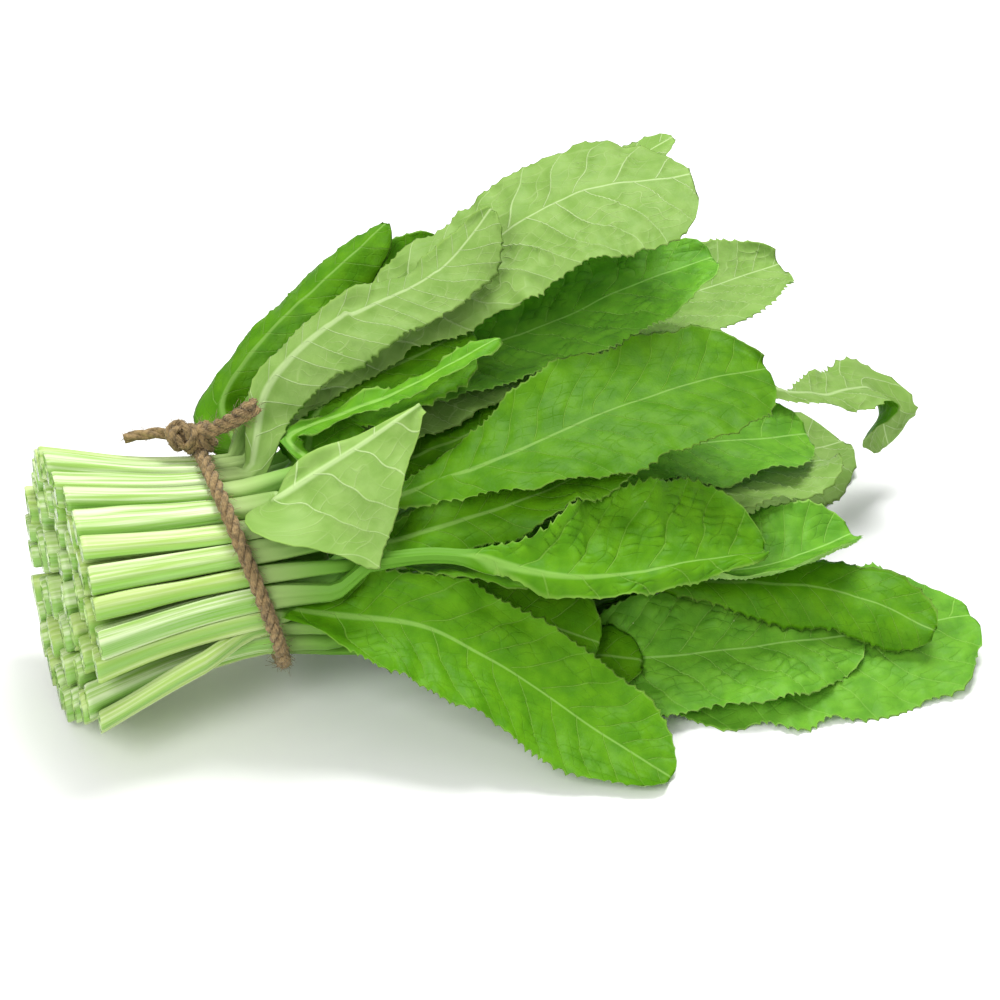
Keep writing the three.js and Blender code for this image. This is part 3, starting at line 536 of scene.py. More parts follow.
def other_leaf(stalk, draw):
    """A leaf for a stalk that has none placed: it fans out from its own side of the bundle."""
    p, q = stalk["p"] / HALF_WIDE, stalk["q"] / HALF_HIGH
    inner = stalk["ring"] > 1
    across = FAN["inner_across"] if inner else FAN["across"]
    turn = math.radians(FAN["turn"] + across * p + 6 * (draw() - 0.5))
    climb = math.radians(FAN["climb"] + FAN["up"] * q + 4 * (draw() - 0.5))
    long = (FAN["inner_length"] if inner else FAN["length"] * (1 + 0.3 * min(0, p))) * (0.9 + 0.2 * draw())
    start = bundle_point(stalk, np.array((FAN_AT,)))[0]
    path = []
    for t in (0.28, 0.62, 1):
        flat = long * t * math.cos(climb)
        sag = FAN["sag"] * t * t * (1 - q * 0.4)
        path.append((start[0] + flat * math.cos(turn), start[1] + flat * math.sin(turn),
                     max(2, start[2] + long * t * math.sin(climb) - sag)))
    face = "under" if draw() > 0.5 and q > -0.3 else "upper"
    half = (4 if inner else 15) + 3 * draw()
    return dict(
        path=path, face=face, half=half, start=0.34 + 0.1 * draw(),
        tilt=(-6 * p, -8 * p), fold=(4, 4), curl=(3, 3), wave=1.5, rows=4 if inner else 7,
        columns=1 if inner else 2, rise=-4 if inner else 0, hidden=True)


def all_leaves():
    """Every leaf in the order it is laid, with its middle line and its rise onto the others."""
    draw = Draw(23)
    leaves = []
    for stalk in pack_stalks():
        name = next((n for n, l in PLACED.items() if l["stalk"] == (stalk["ring"], stalk["slot"])), None)
        leaf = {**LEAF, **(PLACED[name] if name else other_leaf(stalk, draw))}
        leaf["name"] = name or f"leaf_{stalk['ring']}_{stalk['slot']}"
        leaf["paint"] = leaf["paint"] or leaf["face"]
        leaf["stalk_data"] = stalk
        leaf["phase"] = 2 * math.pi * draw()
        leaf["beat"] = 2 + draw()
        leaves.append(leaf)
    leaves.sort(key=lambda l: l["stalk_data"]["q"] + l["rise"])
    heights = Heights(0.5)
    for number, leaf in enumerate(leaves):
        leaf["number"] = number
        middle_line(leaf)
        lay_solid(leaf, heights)
    return leaves


def vein_phase(leaf, a, b, sign):
    """Counts the side veins along the blade: a whole number and a half on each vein."""
    spacing = 5.0 + leaf["half"] * 0.3
    bend = 0.95 * np.abs(b) - 0.004 * b * b
    warp = 0.2 * ripple(a, b, 31 + leaf["number"], 40) + 0.045 * ripple(a, b, 61 + leaf["number"], 13)
    return (a - bend) / spacing + 0.45 * (sign > 0) + warp, spacing


def net_lines(leaf, a, b, phase, width):
    """Counts the small veins that cross the spaces between side veins, and those that run midway."""
    band = np.floor(phase + 0.5)
    cross = (1.1 * np.abs(b) + 0.3 * a) / width + 0.5 * band + 0.3 * ripple(a, b, 131 + leaf["number"], 13)
    midway = phase + 0.5 + 0.15 * ripple(a, b, 151 + leaf["number"], 10)
    keep = np.clip(0.7 + 0.7 * ripple(a, b, 171 + leaf["number"], 15), 0.1, 1)
    keep = keep * min(1, 0.2 + 0.65 * leaf["pucker"])
    return cross, midway, keep


def between(count):
    """0 on a line that a count passes at its halves, 1 midway between two."""
    return np.abs(np.sin(math.pi * (count - 0.5)))


def fine_leaf(leaf, sizes, heights):
    """The finished leaf, laid on those before it, with veins, teeth, puckers and what its material reads."""
    s = leaf["stalk_data"]
    free, blade_from, blade_long = leaf["free"], leaf["blade_from"], leaf["blade_long"]
    coarse = 2.2 if leaf["hidden"] else (1.0 if leaf["close"] else 1.4)
    half = max(7, int(leaf["half"] / (1.15 if leaf["close"] else 2.2)))
    pitch = sizes.tooth_pitch / MM * coarse
    stalk_rows = max(12, int((blade_from + s["length"]) / (3.4 * coarse)))
    teeth = max(4, round(blade_long / pitch))
    draw = Draw(700 + leaf["number"])
    lengths = np.array([0.55 + 0.9 * draw() for _ in range(teeth)])
    near_cut = -s["length"] + np.array((0.0, 0.35, 1.0, 2.2))
    blade_runs = np.interp(np.arange(1, 4 * teeth + 1) / 4, np.arange(teeth + 1),
                           np.concatenate(((0,), np.cumsum(lengths) / lengths.sum())))
    runs = np.concatenate((near_cut, np.linspace(near_cut[-1] + 2.5, blade_from, stalk_rows),
                           blade_from + blade_long * blade_runs))
    q = np.arange(-half, half + 1) / half
    t = q * (1.1 - 0.1 * q * q)
    tooth_at = np.concatenate((np.zeros(len(near_cut) + stalk_rows), np.arange(1, 4 * teeth + 1))).astype(int)
    f = np.maximum(0, (runs - blade_from) / blade_long)
    window = smooth(f * 9) * (1 - 0.5 * smooth((f - 0.93) / 0.07))
    shape = np.maximum(leaf["half"] * blade_shape(f, leaf), 3)
    m = np.abs(t)[None, :]
    edges = []
    for side in (0, 1):
        rise = np.array((0.0, 0.35, 1.0, 0.12))[(tooth_at + 2 * side) % 4] - 0.4
        big = 0.5 + 0.5 * ripple(runs, 0 * runs, 71 + leaf["number"] + 40 * side, 15)
        depth = sizes.tooth_depth / MM * leaf["teeth"] * (0.35 + 1.1 * big) * window * rise
        wave = ripple(runs, 0 * runs + 3, 11 + leaf["number"] + 40 * side, 24)
        lobes = 0.06 * leaf["half"] * wave * smooth(f * 5)
        edges.append(1 + (depth / shape)[:, None] * m**9 + (lobes / shape)[:, None] * m**3)
    tooth = np.where(t[None, :] > 0, edges[0], edges[1])
    ruffle = 1.1 * ripple(runs[:, None] + 0 * t, 9 * t[None, :], 5 + leaf["number"], 13) * m**3
    ruffle = ruffle + 1.3 * ripple(runs[:, None] + 0 * t, 20 * t[None, :], 8 + leaf["number"], 30) * m
    ruffle = ruffle * smooth(f * 6)[:, None]
    wobble = 1.01 + 0.06 * ripple(runs, 0 * runs, 91 + leaf["number"], 40)
    ends = mix(0.93, 1, smooth((runs + s["length"]) / 1.1))
    slimmer = 1 - leaf["slimmer"] * smooth((runs - free * 0.4) / 45)
    ridges = 1 + 0.04 * np.sin(q * (9 + 4 * (leaf["number"] % 3)) + leaf["phase"])
    ridges = ridges - (leaf["number"] % 3) * 0.06 * np.exp(-(((q - 0.1) / 0.3) ** 2))
    thick = sizes.blade_thickness / MM / 2

    def rib(m_, wide, slim):
        width = 1.9 * slim + 0.3
        return 1.7 * slim**1.5 * np.exp(-((m_ * wide) / width) ** 2)

    look = dict(
        tooth=tooth, stem=(wobble * ends * slimmer)[:, None] * ridges[None, :], reach=math.pi / 2,
        ruffle=ruffle,
        opens=0.07 if leaf["close"] else 0.16,
        rib=rib, thick=lambda m_: thick * np.maximum(0.0, 1 - m_**8))
    top, under, data = sections(leaf, runs, t, look)

    lift = np.stack([np.interp(runs, leaf["solid_runs"], leaf["solid_lift"][:, k])
                     for k in range(len(leaf["solid_t"]))], axis=1)
    lift = np.stack([np.interp(t, leaf["solid_t"], row) for row in lift])
    fixed = np.repeat((runs <= free)[:, None], len(t), axis=1)
    lift = even_out(-1e9, lift, fixed, 60)
    lift = mix(lift.mean(axis=1, keepdims=True), lift, data["open"])
    top[..., 2] += lift
    under[..., 2] += lift

    a = (runs - blade_from)[:, None] + 0 * t
    b = t[None, :] * mix(7.0, data["wide"], data["open"])
    phase, spacing = vein_phase(leaf, a, b, data["sign"])
    near_mid = np.exp(-((b / 5.0) ** 2))
    inside = data["open"] * (1 - near_mid) * (1 - m**6)
    centre = (top + under) / 2
    normal = unit(np.cross(np.gradient(centre, axis=1), np.gradient(centre, axis=0)))
    bulge = 1.0 if leaf["face"] == "upper" else -1.0
    cross, midway, keep = net_lines(leaf, a, b, phase, sizes.net_width / MM)
    cushion = (between(cross) * between(midway)) ** 0.5
    pucker = 0.7 * between(phase) ** 0.7 - 0.4 + 0.9 * (keep * cushion - 0.5)
    pucker = sizes.pucker / MM * pucker * inside * bulge
    pucker = leaf["pucker"] * (pucker + 0.35 * ripple(a, b, 17 + leaf["number"], 17) * data["open"])
    shift = normal * pucker[..., None]
    flip = np.sign((normal * (top - under)).sum(axis=(0, 1)).sum())
    top += shift * flip
    under += shift * flip

    need_fixed = (runs <= free + 4)[:, None] | np.zeros(len(t), bool)[None, :]
    fine = refine(under)
    need = np.clip(heights.at(fine) + 0.35 - fine[..., 2], 0, 5)
    need = np.maximum(need, np.clip(-fine[..., 2], 0, 9))
    need = pool(need, top.shape[:2])
    need *= smooth((runs - free) / 14)[:, None]
    more = even_out(need, need.copy(), need_fixed, 26)
    more = mix(more.max(axis=1, keepdims=True), more, data["open"])
    top[..., 2] += more
    under[..., 2] += more
    under[..., 2] = np.maximum(under[..., 2], 0.0)
    top[..., 2] = np.maximum(top[..., 2], under[..., 2])
    heights.add(refine(top))
    heights.add(refine(under))

    width = sizes.vein_width / MM
    gap = np.abs(phase - np.floor(phase) - 0.5) * spacing * 0.8
    side_vein = np.exp(-((gap / width) ** 2)) * inside * (1 - 0.6 * m)
    relief = sizes.vein_relief / MM * side_vein
    upper_top = leaf["face"] == "upper"
    for sheet, is_upper, outward in ((top, upper_top, 1.0), (under, not upper_top, -1.0)):
        amount = (-0.5 if is_upper else 1.0) * relief * outward * flip
        sheet += normal * amount[..., None]
        sheet[..., 2] = np.maximum(sheet[..., 2], 0.0)
    rim = (1 - m) * data["wide"] + 50 * (1 - data["open"])
    out = (s["p"] / HALF_WIDE, s["q"] / HALF_HIGH)
    far = math.hypot(*out)
    return dict(
        top=top, under=under, a=a, b=b, phase=phase, rim=rim + 0 * a, blade=data["open"] + 0 * a,
        cross=cross, midway=midway, keep=keep * inside, run=runs[:, None] + 0 * a, side=m + 0 * a,
        stalk_rows=int((runs < cord_at(out[0] / far, out[1] / far)).sum()))


def refine(sheet):
    """The sheet with a point midway between each two."""
    rows = np.empty((2 * sheet.shape[0] - 1,) + sheet.shape[1:])
    rows[::2] = sheet
    rows[1::2] = (sheet[1:] + sheet[:-1]) / 2
    out = np.empty((rows.shape[0], 2 * sheet.shape[1] - 1) + sheet.shape[2:])
    out[:, ::2] = rows
    out[:, 1::2] = (rows[:, 1:] + rows[:, :-1]) / 2
    return out


def pool(values, shape):
    """The highest of each point and the points added round it."""
    padded = np.pad(values, 1, mode="edge")
    rows, cols = shape
    out = np.zeros(shape)
    for i in range(3):
        for j in range(3):
            np.maximum(out, padded[i:i + 2 * rows - 1:2, j:j + 2 * cols - 1:2], out=out)
    return out


def make_mesh(name, points, faces, materials, face_material, floats, vectors):
    """A mesh in metres at its place, with point attributes."""
    mesh = bpy.data.meshes.new(name)
    inside = np.clip((points - FOOTPRINT) * MM, *CAD_BOX)
    mesh.from_pydata(inside.tolist(), [], faces)
    mesh.materials.clear()
    for material in materials:
        mesh.materials.append(material)
    mesh.polygons.foreach_set("material_index", face_material)
    mesh.polygons.foreach_set("use_smooth", [True] * len(mesh.polygons))
    for key, values in floats.items():
        mesh.attributes.new(key, "FLOAT", "POINT").data.foreach_set("value", np.asarray(values, np.float32))
    for key, values in vectors.items():
        layer = mesh.attributes.new(key, "FLOAT_VECTOR", "POINT")
        layer.data.foreach_set("vector", np.asarray(values, np.float32).ravel())
    mesh.update()
    obj = bpy.data.objects.new(name, mesh)
    bpy.context.scene.collection.objects.link(obj)
    return obj


def close_leaf(leaf, made, materials):
    """Joins the two sheets at their rims, caps the cut end and closes the tip."""
    top, under = made["top"], made["under"]
    rows, cols = top.shape[:2]
    points = [top.reshape(-1, 3)]
    index_top = np.arange(rows * cols).reshape(rows, cols)
    index_under = index_top.copy()
    inner = np.arange((rows - 1) * (cols - 2)).reshape(rows - 1, cols - 2) + rows * cols
    index_under[:-1, 1:-1] = inner
    points.append(under[:-1, 1:-1].reshape(-1, 3))
    rim = (top + under) / 2
    points[0] = top.copy()
    points[0][:, 0] = rim[:, 0]
    points[0][:, -1] = rim[:, -1]
    points[0][-1] = rim[-1]
    points[0] = points[0].reshape(-1, 3)

    lines = 7
    cap_first = rows * cols + inner.size
    layers = [index_top[0]]
    cap_points = []
    draw = Draw(300 + leaf["number"])
    for k in range(1, lines):
        w = k / lines
        row = mix(points[0].reshape(rows, cols, 3)[0], under[0], w)[1:-1]
        across = np.abs(np.linspace(-1, 1, cols)[1:-1])
        hollow = (1 - across**2) * math.sin(math.pi * w)
        rough = np.array([draw() - 0.5 for _ in range(cols - 2)])
        row = row + np.outer(0.9 * hollow + 0.35 * rough * hollow, AXIS)
        start = cap_first + (k - 1) * (cols - 2)
        line = index_top[0].copy()
        line[1:-1] = np.arange(start, start + cols - 2)
        layers.append(line)
        cap_points.append(row)
    layers.append(index_under[0])
    points = np.vstack(points + cap_points)

    faces, kinds = [], []
    for i in range(rows - 1):
        kind = 1 if i < made["stalk_rows"] else 0
        for j in range(cols - 1):
            quad = (index_top[i, j], index_top[i + 1, j], index_top[i + 1, j + 1], index_top[i, j + 1])
            faces.append(quad)
            quad = (index_under[i, j], index_under[i, j + 1], index_under[i + 1, j + 1], index_under[i + 1, j])
            faces.append(quad)
            kinds += (kind, kind)
    for k in range(lines):
        for j in range(cols - 1):
            corners = (layers[k][j], layers[k][j + 1], layers[k + 1][j + 1], layers[k + 1][j])
            faces.append(tuple(dict.fromkeys(corners)))
            kinds.append(2)
    faces = [tuple(int(v) for v in face) for face in faces]

    upper_top = 1.0 if leaf["paint"] == "upper" else 0.0

    def spread_out(grid, cap):
        caps = np.full(len(cap_points) * (cols - 2), cap)
        return np.concatenate((grid.ravel(), grid[:-1, 1:-1].ravel(), caps))

    upper = np.concatenate((np.full(rows * cols, upper_top), np.full(inner.size, 1 - upper_top),
                            np.full(len(cap_points) * (cols - 2), 0.5)))
    place = np.stack([spread_out(made[key], 0) for key in ("a", "b", "phase")], axis=1)
    net = np.stack([spread_out(made[key], 0) for key in ("cross", "midway", "keep")], axis=1)
    floats = dict(
        upper=upper, rim=spread_out(made["rim"], 50.0), blade=spread_out(made["blade"], 0.0),
        run=spread_out(made["run"], -CUT_LENGTH),
        side=spread_out(made["side"], 0.0), tint=np.full(len(points), (leaf["number"] * 0.37) % 1.0),
        tone_and_painted_light=np.full(len(points), float(leaf["tone_and_painted_light"])))
    return make_mesh(leaf["name"] + "_fine", points, faces, materials, kinds, floats,
                     dict(leaf_place=place, leaf_net=net))


# Colours and nodes


def linear(code):
    """Linear colour of an sRGB hex value."""
    parts = [int(code[i:i + 2], 16) / 255 for i in (1, 3, 5)]
    return tuple(c / 12.92 if c <= 0.04045 else ((c + 0.055) / 1.055) ** 2.4 for c in parts)


def to_linear(code):
    return linear(code) + (1.0,)


def add(tree, kind, settings=None):
    """Adds a node. A setting is a property, or an input that takes a value or another node's output."""
    node = tree.nodes.new(kind)
    for key, value in (settings or {}).items():
        if not isinstance(key, int) and key not in node.inputs:
            setattr(node, key, value)
        elif isinstance(value, bpy.types.NodeSocket):
            tree.links.new(value, node.inputs[key])
        else:
            node.inputs[key].default_value = value
    return node


def new_material(name):
    material = bpy.data.materials.new(name)
    material.use_nodes = True
    material.node_tree.nodes.clear()
    return material, material.node_tree


def two_colours(tree, value, low, high):
    """A colour that runs from one to another, each given with the value where it is reached."""
    node = add(tree, "ShaderNodeValToRGB", {"Fac": value})
    for element, (position, code) in zip(node.color_ramp.elements, (low, high)):
        element.position = position
        element.color = to_linear(code)
    return node.outputs[0]


def leaf_nodes(tree, colours):
    """Short forms that add nodes to a leaf material."""
    def math_(op, a, b=0.0):
        return add(tree, "ShaderNodeMath", {"operation": op, 0: a, 1: b}).outputs[0]

    def blend(factor, a, b):
        a, b = (to_linear(colours[c]) if isinstance(c, str) else c for c in (a, b))
        return add(tree, "ShaderNodeMix", {"data_type": "RGBA", 0: factor, 6: a, 7: b}).outputs[2]

    def ramp(value, low, high, out_low=0.0, out_high=1.0):
        node = add(tree, "ShaderNodeMapRange", {
            "interpolation_type": "SMOOTHSTEP", 0: value, 1: low, 2: high, 3: out_low, 4: out_high})
        return node.outputs[0]

    def given(name, output="Fac"):
        return add(tree, "ShaderNodeAttribute", {"attribute_name": name}).outputs[output]

    def noise(place, stretch, seed, detail, rough=0.5):
        at = add(tree, "ShaderNodeMapping", {"Scale": stretch, "Location": (0, 0, seed), "Vector": place})
        return add(tree, "ShaderNodeTexNoise", {
            "Scale": 1.0, "Detail": detail, "Roughness": rough, "Vector": at.outputs[0]}).outputs[0]

    return math_, blend, ramp, given, noise


def stalk_skin(tree, colours):
    """Colour and height of a stalk's skin: pale ribs with green between them."""
    math_, blend, ramp, given, noise = leaf_nodes(tree, colours)
    place = given("leaf_place", "Vector")
    # Fibres about 1 mm wide that run on for 50 mm
    streak = noise(place, (0.02, 1.0, 0.0), 4.0, 2.0, 0.6)
    stem = blend(ramp(streak, 0.36, 0.66), "stalk_deep", "stalk_light")
    stem = blend(ramp(given("tint"), 0.3, 0.9, 0.0, 0.55), stem, "stalk_yellow")
    stem = blend(ramp(given("side"), 0.5, 1.0, 0.0, 0.75), stem, "stalk_green")
    stem = blend(ramp(given("run"), -12.0, 32.0, 0.0, 1.0), stem, "stalk_green")
    return stem, streak


def blade_skin(tree, colours):
    """Colour and height of a blade's skin: veins in three sizes on a lightly mottled green."""
    math_, blend, ramp, given, noise = leaf_nodes(tree, colours)
    place = given("leaf_place", "Vector")
    upper, tone_and_painted_light = given("upper"), given("tone_and_painted_light")
    a, b, phase = add(tree, "ShaderNodeSeparateXYZ", {0: place}).outputs
    flat = add(tree, "ShaderNodeCombineXYZ", {0: a, 1: b})
    mottle = noise(flat.outputs[0], (0.12, 0.12, 1.0), 2.0, 2.0)
    # Grain of the skin between the finest veins, about 1 mm
    grain = noise(flat.outputs[0], (0.9, 0.9, 1.0), 6.0, 1.0)
    cross, midway, keep = add(tree, "ShaderNodeSeparateXYZ", {0: given("leaf_net", "Vector")}).outputs

    def line(count, inner, outer):
        off = math_("ABSOLUTE", math_("SUBTRACT", math_("FRACT", count), 0.5))
        return ramp(off, inner, outer, 1.0, 0.0)

    net = math_("MULTIPLY", math_("MAXIMUM", line(cross, 0.01, 0.085), line(midway, 0.004, 0.035)), keep)
    middle = math_("ABSOLUTE", b)
    midrib = ramp(math_("DIVIDE", middle, ramp(a, 0.0, 100.0, 1.35, 0.4)), 0.4, 1.3, 1.0, 0.0)
    vein = math_("MULTIPLY", line(phase, 0.006, 0.034), ramp(middle, 5.0, 26.0, 1.0, 0.5))

    bright = blend(ramp(mottle, 0.3, 0.7, 0.2, 0.8), "upper_deep", "upper_light")
    # Painted shade: the small veins sunk into the upper side are darkened as if shaded in their grooves
    bright = blend(math_("MULTIPLY", net, 0.2), bright, "upper_groove_shade")
    bright = blend(math_("MULTIPLY", vein, 0.5), bright, "upper_vein")
    bright = blend(math_("MULTIPLY", midrib, 0.65), bright, "midrib")
    pale = blend(ramp(mottle, 0.3, 0.7, 0.25, 0.75), "under_deep", "under_light")
    pale = blend(math_("MULTIPLY", net, 0.6), pale, "under_net")
    pale = blend(math_("MULTIPLY", vein, 0.8), pale, "under_vein")
    pale = blend(math_("MULTIPLY", midrib, 0.8), pale, "under_vein")
    skin = blend(upper, pale, bright)
    # Pale band along the margin: partly the margin's own paler green and partly a painted highlight on the
    # leaf's edge
    skin = blend(ramp(given("rim"), 0.0, 1.1, 0.5, 0.0), skin, "rim")
    stem = blend(ramp(given("run"), -12.0, 32.0, 0.0, 1.0), "stalk_pale", "stalk_green")
    colour = blend(ramp(given("blade"), 0.0, 0.7), stem, skin)
    # Painted light: tone sets each leaf's brightness, partly its own tone and partly light painted onto leaves
    # that lie in shade
    toned = add(tree, "ShaderNodeHueSaturation", {
        "Color": colour, "Value": ramp(tone_and_painted_light, -1.0, 1.0, 0.62, 1.38),
        "Saturation": ramp(tone_and_painted_light, 0.0, 1.0, 1.0, 0.94)})
    lines = math_("MAXIMUM", vein, math_("MULTIPLY", net, 0.8))
    height = math_("MULTIPLY", lines, ramp(upper, 0.0, 1.0, 1.0, -1.0))
    height = math_("MULTIPLY", math_("ADD", height, math_("MULTIPLY", grain, 0.5)), given("blade"))
    return toned.outputs[0], height


def leaf_materials():
    """Leaf skin: thin waxy blade that lets light through, juicy ribbed stalk, wet cut end."""
    colours = dict(
        upper_deep="#4d8c0c", upper_light="#6eac14", upper_groove_shade="#3c7410", upper_vein="#8fc04c",
        midrib="#9ccb62", under_deep="#83ae4a", under_light="#a5c86e", under_net="#bdd88c",
        under_vein="#cde6a2", rim="#a8cf62", stalk_pale="#b6cd84", stalk_deep="#93b95a", stalk_light="#cbdaac",
        stalk_yellow="#aec465", stalk_green="#6fa834", cut_deep="#5c8430", cut_pale_and_glint="#b3d27c", glow="#e6f58a")
    # Waxy blade: a broad soft sheen, and the yellower green of the light that comes through from behind
    blade, tree = new_material("fresh_leaf_blade_waxy")
    colour, height = blade_skin(tree, colours)
    bump = add(tree, "ShaderNodeBump", {"Strength": 0.7, "Distance": 0.0003, "Height": height}).outputs[0]
    skin = add(tree, "ShaderNodeBsdfPrincipled", {
        "IOR": 1.42, "Roughness": 0.46, "Specular IOR Level": 0.2, "Base Color": colour, "Normal": bump})
    through = add(tree, "ShaderNodeMix", {
        "data_type": "RGBA", "blend_type": "MULTIPLY", 0: 1.0, 6: colour, 7: to_linear(colours["glow"])})
    glow = add(tree, "ShaderNodeBsdfTranslucent", {"Color": through.outputs[2], "Normal": bump})
    both = add(tree, "ShaderNodeMixShader", {0: 0.34, 1: skin.outputs[0], 2: glow.outputs[0]})
    add(tree, "ShaderNodeOutputMaterial", {"Surface": both.outputs[0]})
    # Fresh stalk: crisp pale ribs under a thin smooth skin, slightly shiny along the ribs
    stalk, tree = new_material("leaf_stalk_ribbed")
    colour, height = stalk_skin(tree, colours)
    bump = add(tree, "ShaderNodeBump", {"Strength": 0.6, "Distance": 0.0005, "Height": height}).outputs[0]
    skin = add(tree, "ShaderNodeBsdfPrincipled", {
        "IOR": 1.4, "Roughness": 0.38, "Base Color": colour, "Normal": bump})
    add(tree, "ShaderNodeOutputMaterial", {"Surface": skin.outputs[0]})
    # Cut stalk: open cells wet with sap, darker and glossier than the skin. The pale spots of its grain are
    # partly the cells and partly painted glints of the wet sap
    cut, tree = new_material("cut_stalk_wet")
    coords = add(tree, "ShaderNodeTexCoord").outputs["Object"]
    grain = add(tree, "ShaderNodeTexNoise", {"Scale": 420.0, "Detail": 2.0, "Vector": coords}).outputs[0]
    colour = two_colours(tree, grain, (0.35, colours["cut_deep"]), (0.65, colours["cut_pale_and_glint"]))
    bump = add(tree, "ShaderNodeBump", {"Strength": 0.8, "Distance": 0.0006, "Height": grain}).outputs[0]
    skin = add(tree, "ShaderNodeBsdfPrincipled", {
        "IOR": 1.38, "Roughness": 0.22, "Coat Weight": 0.5, "Coat Roughness": 0.1, "Base Color": colour,
        "Normal": bump})
    add(tree, "ShaderNodeOutputMaterial", {"Surface": skin.outputs[0]})
    return blade, stalk, cut


def cord_at(p, q):
    """How far along the bundle the cord passes a place on its outside, from -1 to 1 across and up."""
    return -CORD_REACH * (p * (BACK @ CORD_NORMAL) + q * (UP @ CORD_NORMAL)) / (AXIS @ CORD_NORMAL)


def cord_ring():
    """Middle line of the cord round the stalks, in its own tilted plane."""
    angle = np.linspace(0, 2 * math.pi, 160, endpoint=False)
    p, q = np.cos(angle), np.sin(angle)
    reach = CORD_REACH
    u = cord_at(p, q)
    far = reach * spread(u) / PACK_RADIUS
    out = CORD_RADIUS - CORD_SINK
    return (TIE_CENTRE + np.outer(u, AXIS) + np.outer(p * (far * HALF_WIDE + out), BACK)
            + np.outer(q * (far * HALF_HIGH + out), UP))


def cord_knot():
    """Wraps of the knot, wound along its long side and crossing each other."""
    t = np.linspace(0, 1, 150)
    turn = 2 * math.pi * 3.25 * t - 0.6
    long, high = KNOT_HALF[0] - CORD_RADIUS, KNOT_HALF[2] - CORD_RADIUS
    x = long * np.cos(math.pi * t) * -1 + 1.6 * np.sin(turn * 1.5 + 1)
    y = (high + 0.4 * np.sin(turn * 0.7)) * np.cos(turn)
    z = (high + 0.5 * np.cos(turn * 0.6)) * np.sin(turn)
    return KNOT + np.stack((x, y, z), axis=1)


def smooth_route(points, count):
    """A smooth curve through a few points, ends included."""
    knots = np.array(points, float)
    knots = np.vstack((2 * knots[0] - knots[1], knots, 2 * knots[-1] - knots[-2]))
    spans = len(knots) - 3
    out = []
    for x in np.linspace(0, spans, count):
        k = min(spans - 1, int(x))
        t = x - k
        a, b, c, d = knots[k:k + 4]
        bend = (2 * a - 5 * b + 4 * c - d) * t**2
        out.append(0.5 * (2 * b + (c - a) * t + bend + (3 * b - a - 3 * c + d) * t**3))
    return np.array(out)


def cord_curve(routes):
    """Curve object, a spline for each route: points in millimetres, swell of the cord, closed or not."""
    curve = bpy.data.curves.new("cord_route", "CURVE")
    curve.dimensions = "3D"
    for points, swell, closed in routes:
        spline = curve.splines.new("POLY")
        spline.points.add(len(points) - 1)
        spots = np.hstack(((points - FOOTPRINT) * MM, np.ones((len(points), 1))))
        spline.points.foreach_set("co", spots.ravel())
        spline.points.foreach_set("radius", np.asarray(swell, float))
        spline.use_cyclic_u = closed
    obj = bpy.data.objects.new("cord_route", curve)
    bpy.context.scene.collection.objects.link(obj)
    return obj


